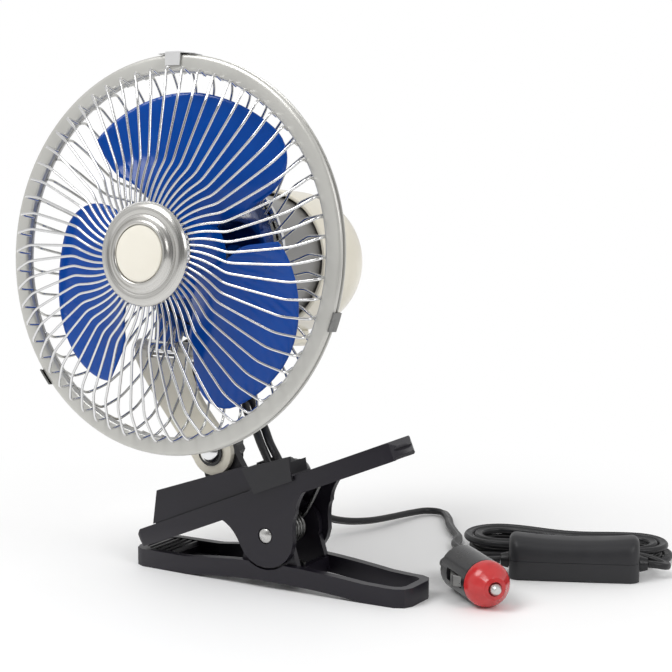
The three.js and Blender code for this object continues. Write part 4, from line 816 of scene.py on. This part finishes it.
# ---------------------------------------------------------------- impeller
# Three broad blades and a hub moulded in one shot of glossy blue plastic, about 1.7 mm thick, with rounded
# edges and a small fillet where each blade leaves the hub.
blue_gloss = grained_plastic("blue_gloss", (0.0, 0.05, 0.31), (0.001, 0.078, 0.41), 0.12, 400.0, 0.00001, 0.3)
HUB_R, TIP_R, SWEEP, BLADE_T = 20, 74, 92, 1.7
ROOT_FRONT, ROOT_DEPTH, TIP_FRONT, TIP_DEPTH, TIP_BULGE = -8, 19.5, -9.5, 24.5, 0.69


def blade_at(first, u, v):
    """Radius, angle and back-set of a blade's middle surface, u from the leading edge, v from the hub."""
    lead = math.sin(math.pi / 2 * min(1, u / 0.5)) ** 0.8
    trail = min(1, (1 - u) / 0.2)
    trail_round = 0.68 + 0.32 * math.sqrt(1 - (1 - trail) ** 2)
    tip = TIP_R * (0.85 + 0.15 * lead) * trail_round * (1 - 0.05 * max(0, u - 0.5))
    spread = 0.62 + 0.38 * min(1, v * 1.9)
    centre = 0.5 + 0.1 * (1 - min(1, v * 1.6))
    angle = math.radians(first - SWEEP * (centre + (u - 0.5) * spread))
    root = ROOT_FRONT + ROOT_DEPTH * u
    outer = TIP_FRONT + TIP_DEPTH * (u + TIP_BULGE * u * (1 - u))
    return HUB_R - 1 + (tip - HUB_R + 1) * v, angle, root + (outer - root) * v


def ease(t):
    """Steps close together at both ends, for round blade corners."""
    return 0.5 - 0.5 * math.cos(math.pi * t)


def blade_mesh(first, rows=44, cols=20):
    """Vertices and faces of a blade: a front and a back skin that meet in thin round edges."""
    verts, faces = [], []
    for side in (-1, 1):
        for i in range(rows + 1):
            for j in range(cols + 1):
                u, v = ease(i / rows), math.sin(math.pi / 2 * j / cols)
                r, angle, s = blade_at(first, u, v)
                inward = max(0.0, min(u * 60, (1 - u) * 60, (1 - v) * 45))
                edge = min(1.0, math.sqrt(inward) * 0.7 + 0.3)
                fillet = 1 + 1.4 * max(0.0, 1 - v / 0.07) ** 2
                s += side * BLADE_T / 2 * edge * fillet
                verts.append(head(r * math.cos(angle), s, r * math.sin(angle)))

    def at(side, i, j):
        """Number of a vertex."""
        return (side * (rows + 1) + i) * (cols + 1) + j

    for i in range(rows):
        for j in range(cols):
            faces.append((at(0, i, j), at(0, i + 1, j), at(0, i + 1, j + 1), at(0, i, j + 1)))
            faces.append((at(1, i, j), at(1, i, j + 1), at(1, i + 1, j + 1), at(1, i + 1, j)))
        faces.append((at(0, i, 0), at(1, i, 0), at(1, i + 1, 0), at(0, i + 1, 0)))
        faces.append((at(0, i, cols), at(0, i + 1, cols), at(1, i + 1, cols), at(1, i, cols)))
    for j in range(cols):
        faces.append((at(0, 0, j), at(0, 0, j + 1), at(1, 0, j + 1), at(1, 0, j)))
        faces.append((at(0, rows, j), at(1, rows, j), at(1, rows, j + 1), at(0, rows, j + 1)))
    return verts, faces


for number in range(3):
    blade = make_piece(f"blade_{number + 1}", *blade_mesh(8 + 120 * number), blue_gloss, 60)
    stand_for(blade, "impeller", "rotor")
hub_front, hub_back, bore_r, boss_r = -12, 14, 2.7, 6.5
hub_nose = curve_through([(HUB_R - 6, hub_front + 0.2), (HUB_R - 3, hub_front + 1.2),
                          (HUB_R - 0.8, hub_front + 3.4), (HUB_R, hub_front + 7)])
hub_inside = [(HUB_R, hub_back), (HUB_R - 2, hub_back), (HUB_R - 2, hub_front + 7), (boss_r, hub_front + 3.6),
              (boss_r, hub_back - 2), (bore_r, hub_back - 2), (bore_r, hub_front + 3.2), (5, hub_front + 3.2)]
hub_profile = [(5, hub_front), *hub_nose, *hub_inside, (5, hub_front)]
stand_for(turned("impeller_hub", hub_profile, blue_gloss, 96), "impeller", "rotor")

# ---------------------------------------------------------------- guard
# Two dished grilles of plated wire, each welded to a rolled rim, meet at the rims. A thin black ring between
# the rims is painted shade for the dark gap of the seam. The wires swing to one side as they leave the hub,
# run straight out and bend back over the rim.
def grille_tree():
    """Geometry nodes: one wire line becomes a round wire, and is set out round the axis."""
    tree = bpy.data.node_groups.new("grille_wires", "GeometryNodeTree")
    for name, kind in (("Wire line", "Geometry"), ("Number of wires", "Int"), ("Wire radius", "Float"),
                       ("First angle", "Float"), ("Plate", "Material")):
        tree.interface.new_socket(name, in_out="INPUT", socket_type="NodeSocket" + kind)
    tree.interface.new_socket("Grille", in_out="OUTPUT", socket_type="NodeSocketGeometry")
    nodes, links = tree.nodes, tree.links
    given, result = nodes.new("NodeGroupInput"), nodes.new("NodeGroupOutput")
    line = nodes.new("GeometryNodeMeshToCurve")
    section = nodes.new("GeometryNodeCurvePrimitiveCircle")
    put(section, {"Resolution": 8})
    wire = nodes.new("GeometryNodeCurveToMesh")
    put(wire, {"Fill Caps": True})
    spots = nodes.new("GeometryNodePoints")
    index = nodes.new("GeometryNodeInputIndex").outputs["Index"]
    share = maths(nodes, links, "DIVIDE", index, given.outputs["Number of wires"])
    turn = maths(nodes, links, "MULTIPLY_ADD", share, -2 * math.pi, given.outputs["First angle"])
    euler = nodes.new("ShaderNodeCombineXYZ")
    copies = nodes.new("GeometryNodeInstanceOnPoints")
    real = nodes.new("GeometryNodeRealizeInstances")
    finish = nodes.new("GeometryNodeSetMaterial")
    links.new(given.outputs["Wire line"], line.inputs["Mesh"])
    links.new(line.outputs["Curve"], wire.inputs["Curve"])
    links.new(given.outputs["Wire radius"], section.inputs["Radius"])
    links.new(section.outputs["Curve"], wire.inputs["Profile Curve"])
    links.new(given.outputs["Number of wires"], spots.inputs["Count"])
    links.new(turn, euler.inputs["Y"])
    links.new(spots.outputs["Points"], copies.inputs["Points"])
    links.new(wire.outputs["Mesh"], copies.inputs["Instance"])
    links.new(euler.outputs["Vector"], copies.inputs["Rotation"])
    links.new(copies.outputs["Instances"], real.inputs["Geometry"])
    links.new(real.outputs["Geometry"], finish.inputs["Geometry"])
    links.new(given.outputs["Plate"], finish.inputs["Material"])
    links.new(finish.outputs["Geometry"], result.inputs["Grille"])
    return tree


wires_tree = grille_tree()
to_head = Matrix.Translation(head(0, 0, 0)) @ Matrix.Rotation(-TILT, 4, "X")


def bent(stations, step=1.2, passes=4):
    """Straight runs between (radius, back, turn) stations, with small bends at them."""
    line = even([Vector(s) for s in stations], step)
    for _ in range(passes):
        line = [line[0], *[(a + b * 2 + c) / 4 for a, b, c in zip(line, line[1:], line[2:])], line[-1]]
    return line


def grille(name, stations, count, first, radius, material):
    """Wires through (radius, back, turn) stations, set out round the fan's axis and stood in the head."""
    verts = []
    for r, s, turn in bent(stations):
        angle = math.radians(turn)
        verts.append((r * math.cos(angle) / 1000, s / 1000, r * math.sin(angle) / 1000))
    mesh = bpy.data.meshes.new(name + "_line")
    mesh.from_pydata(verts, [(i, i + 1) for i in range(len(verts) - 1)], [])
    line = bpy.data.objects.new(name + "_line", mesh)
    bpy.context.collection.objects.link(line)
    setter = line.modifiers.new("set_out", "NODES")
    setter.node_group = wires_tree
    values = {"Number of wires": count, "Wire radius": radius, "First angle": math.radians(-first),
              "Plate": material}
    for socket in wires_tree.interface.items_tree:
        if socket.name in values:
            setter[socket.identifier] = values[socket.name]
    bpy.context.view_layer.update()
    built = bpy.data.meshes.new_from_object(line.evaluated_get(bpy.context.evaluated_depsgraph_get()))
    line.modifiers.remove(setter)
    bpy.data.objects.remove(line)
    built.transform(to_head)
    built.polygons.foreach_set("use_smooth", [True] * len(built.polygons))
    built.set_sharp_from_angle(angle=math.radians(70))
    piece = bpy.data.objects.new(name, built)
    bpy.context.collection.objects.link(piece)
    return piece


WIRE_R, RIM_IN, RIM_OUT, RIM_GAP, RIM_DEPTH = 0.00062, 82.0, 90.2, 0.2, 2.4


def rolled_rim(side):
    """Profile of a rim, -1 in front and 1 behind: a flat face with its two edges rolled under."""
    wide = RIM_OUT - RIM_IN
    face = [(0, 0), (0, 0.5), (0.25, 0.8), (0.8, 0.97), (1.6, 1), (wide - 1.9, 1), (wide - 0.9, 0.93),
            (wide - 0.25, 0.72), (wide, 0.5), (wide, 0.34), (wide - 0.3, 0.24), (wide - 1.1, 0.2),
            (wide - 1.2, 0)]
    return [(RIM_IN + out, side * (RIM_GAP + RIM_DEPTH * share)) for out, share in [*face, face[0]]]


def band(r0, r1, s0, s1):
    """Profile of a flat ring."""
    return [(r0, s0), (r1, s0), (r1, s1), (r0, s1), (r0, s0)]


front_line = [(22, -19.3, 0), (28.6, -18.7, -2.5), (33, -18.3, -4.7), (42, -17.5, -9.2), (56, -15.5, -8.4),
              (72, -13.2, -7.6), (77, -11.2, -6.6), (84.2, -8.4, -5.1), (81.8, -0.8, -4.6)]
rear_line = [(81.8, 0.8, 5), (84.4, 8.5, 5.8), (77, 15.4, 7.4), (60, 19.9, 9.6), (35.5, 28.7, 2)]
wire_plate = metal("wire_plate", (0.68, 0.68, 0.68), (0.84, 0.84, 0.84), 0.14)
# Painted shade: the rear grille and its ring are the same plated wire as the front, coloured darker.
wire_painted_shade = metal("wire_painted_shade", (0.5, 0.5, 0.48), (0.64, 0.64, 0.62), 0.16)
rim_plate = enamel("rim_plate", (0.5, 0.495, 0.465), (0.62, 0.615, 0.58), 0.34, metallic=0.45)
hub_ring = turned("front_hub_ring", band(20, 23, -20.2, -18.4), chrome_plate)
back_ring = turned("rear_hub_ring", band(33.5, 37.5, 27.6, 30), wire_painted_shade)
stand_for(grille("front_grille", front_line, 60, 1, WIRE_R, wire_plate), "front_guard")
stand_for(turned("front_rim", rolled_rim(-1), rim_plate), "front_guard")
stand_for(hub_ring, "front_guard")
stand_for(grille("rear_grille", rear_line, 48, 2, WIRE_R, wire_painted_shade), "rear_guard")
stand_for(turned("rear_rim", rolled_rim(1), rim_plate), "rear_guard")
stand_for(back_ring, "rear_guard")
# Painted shade: a black ring in the seam between the rims stands for the dark gap there.
seam_shade_profile = [(87.6, -0.55), (89.3, -0.55), (89.5, 0), (89.3, 0.55), (87.6, 0.55), (87.6, -0.55)]
stand_for(turned("rim_seam_painted_shade", seam_shade_profile, gloss_black), "rear_guard")

# ---------------------------------------------------------------- rim clips
# Three thin sprung strips, bent over both rims and pressed shut, hold the grilles together. The one at the
# top laps further over the front, and a thinner strip under it lies along the rim.
def rim_clip(name, centre, width, front_lap, back_lap, material, t=0.7):
    """A strip of the rim's own curve, t thick: a lap in front, a wall over the edge and a lap behind."""
    r1 = RIM_OUT + 0.4
    back = RIM_GAP + RIM_DEPTH + 0.35
    front = -back
    section = [(r1 - front_lap, front - t), (r1 + t * 0.4, front - t), (r1 + t, front - t * 0.4),
               (r1 + t, back + t * 0.4), (r1 + t * 0.4, back + t), (r1 - back_lap, back + t),
               (r1 - back_lap, back), (r1, back), (r1, front), (r1 - front_lap, front)]
    steps = 12
    half = math.degrees(width / 2 / r1)
    verts = []
    for k in range(steps + 1):
        angle = math.radians(centre - half + 2 * half * k / steps)
        verts += [head(r * math.cos(angle), s, r * math.sin(angle)) for r, s in section]
    return make_piece(name, verts, loft_faces(steps + 1, len(section)), material, 40)


clip_bright = metal("clip_bright", (0.84, 0.84, 0.84), (0.93, 0.93, 0.93), 0.3)
stand_for(rim_clip("top_clip", 92, 8.4, 5.6, 4, clip_bright), "rim_clip_1")
stand_for(rim_clip("top_clip_tail", 91, 20, -0.1, 0.6, clip_bright, 0.3), "rim_clip_1")
# Painted shade: the side clips are the same plated strips as the top one, coloured with the dark steel.
stand_for(rim_clip("right_clip", -15.5, 8.5, 0.3, 1.2, contact_steel, 0.4), "rim_clip_2")
stand_for(rim_clip("left_clip", -138, 8.5, 0.6, 1.2, contact_steel, 0.4), "rim_clip_3")

# ---------------------------------------------------------------- cap and badge
# Spun steel cap over the middle of the front grille, brushed in rings, with a pressed bead round a plain
# ivory disc. A dark plate behind it clamps the wires.
def spun_metal(name, dark, light, rough):
    """Bright metal whose brush marks run round the fan's axis."""
    material, nodes, links, shader = new_material(name)
    put(shader, {"Metallic": 1.0})
    coords = nodes.new("ShaderNodeTexCoord")
    centred = nodes.new("ShaderNodeMapping")
    centred.vector_type = "TEXTURE"
    put(centred, {"Location": head(0, 0, 0), "Rotation": (-TILT, 0.0, 0.0)})
    flat = nodes.new("ShaderNodeVectorMath")
    flat.operation = "MULTIPLY"
    put(flat, {1: (1.0, 0.0, 1.0)})
    radius = nodes.new("ShaderNodeVectorMath")
    radius.operation = "LENGTH"
    rings = nodes.new("ShaderNodeTexNoise")
    rings.noise_dimensions = "1D"
    put(rings, {"Scale": 4200.0, "Detail": 2.0})
    links.new(coords.outputs["Object"], centred.inputs["Vector"])
    links.new(centred.outputs["Vector"], flat.inputs[0])
    links.new(flat.outputs["Vector"], radius.inputs[0])
    links.new(radius.outputs["Value"], rings.inputs["W"])
    tint(nodes, links, rings, dark, light, shader.inputs["Base Color"])
    vary(nodes, links, rings, rough - 0.06, rough + 0.1, shader.inputs["Roughness"])
    relief(nodes, links, rings, 0.00001, 0.25, shader)
    return material


brushed_steel = spun_metal("brushed_steel", (0.5, 0.49, 0.47), (0.72, 0.71, 0.68), 0.24)
CAP_S, MIDDLE = -21.2, 0.01


def off_cap(*spots):
    """(radius, back) spots, back from the cap's own place on the axis."""
    return [(r, CAP_S + back) for r, back in spots]


cap_face = curve_through(off_cap(
    (12.75, -2.6), (12.9, -3.5), (13.4, -3.95), (14.1, -3.95), (14.8, -3.5), (15.6, -2.6), (16.6, -1.75),
    (17.6, -1.4), (19, -1.75), (20.3, -1.8), (21.6, -1.3), (22.7, -0.4), (23.3, 0.5)))
cap_back = off_cap((23.3, 0.7), (19.4, 0.7), (19.4, -0.2), (MIDDLE, -0.2), (MIDDLE, -2.6))
stand_for(turned("steel_cap", [cap_back[-1], *cap_face, *cap_back], brushed_steel, 144), "front_cap")
ivory = grained_plastic("ivory_gloss", (0.8, 0.76, 0.66), (0.86, 0.83, 0.74), 0.14, 600.0, 0.00001)
badge_face = off_cap((MIDDLE, -4.1), (6, -4.05), (11.2, -3.9), (12.2, -3.65), (12.5, -3.3), (12.5, -2.9),
                     (MIDDLE, -2.9), (MIDDLE, -4.1))
stand_for(turned("ivory_badge", badge_face, ivory, 96), "badge_disc")
backing_face = off_cap((MIDDLE, 3.4), (22.6, 3.4), (22.6, 4.1), (MIDDLE, 4.6), (MIDDLE, 3.4))
stand_for(turned("cap_backing", backing_face, gloss_black), "cap_plate")
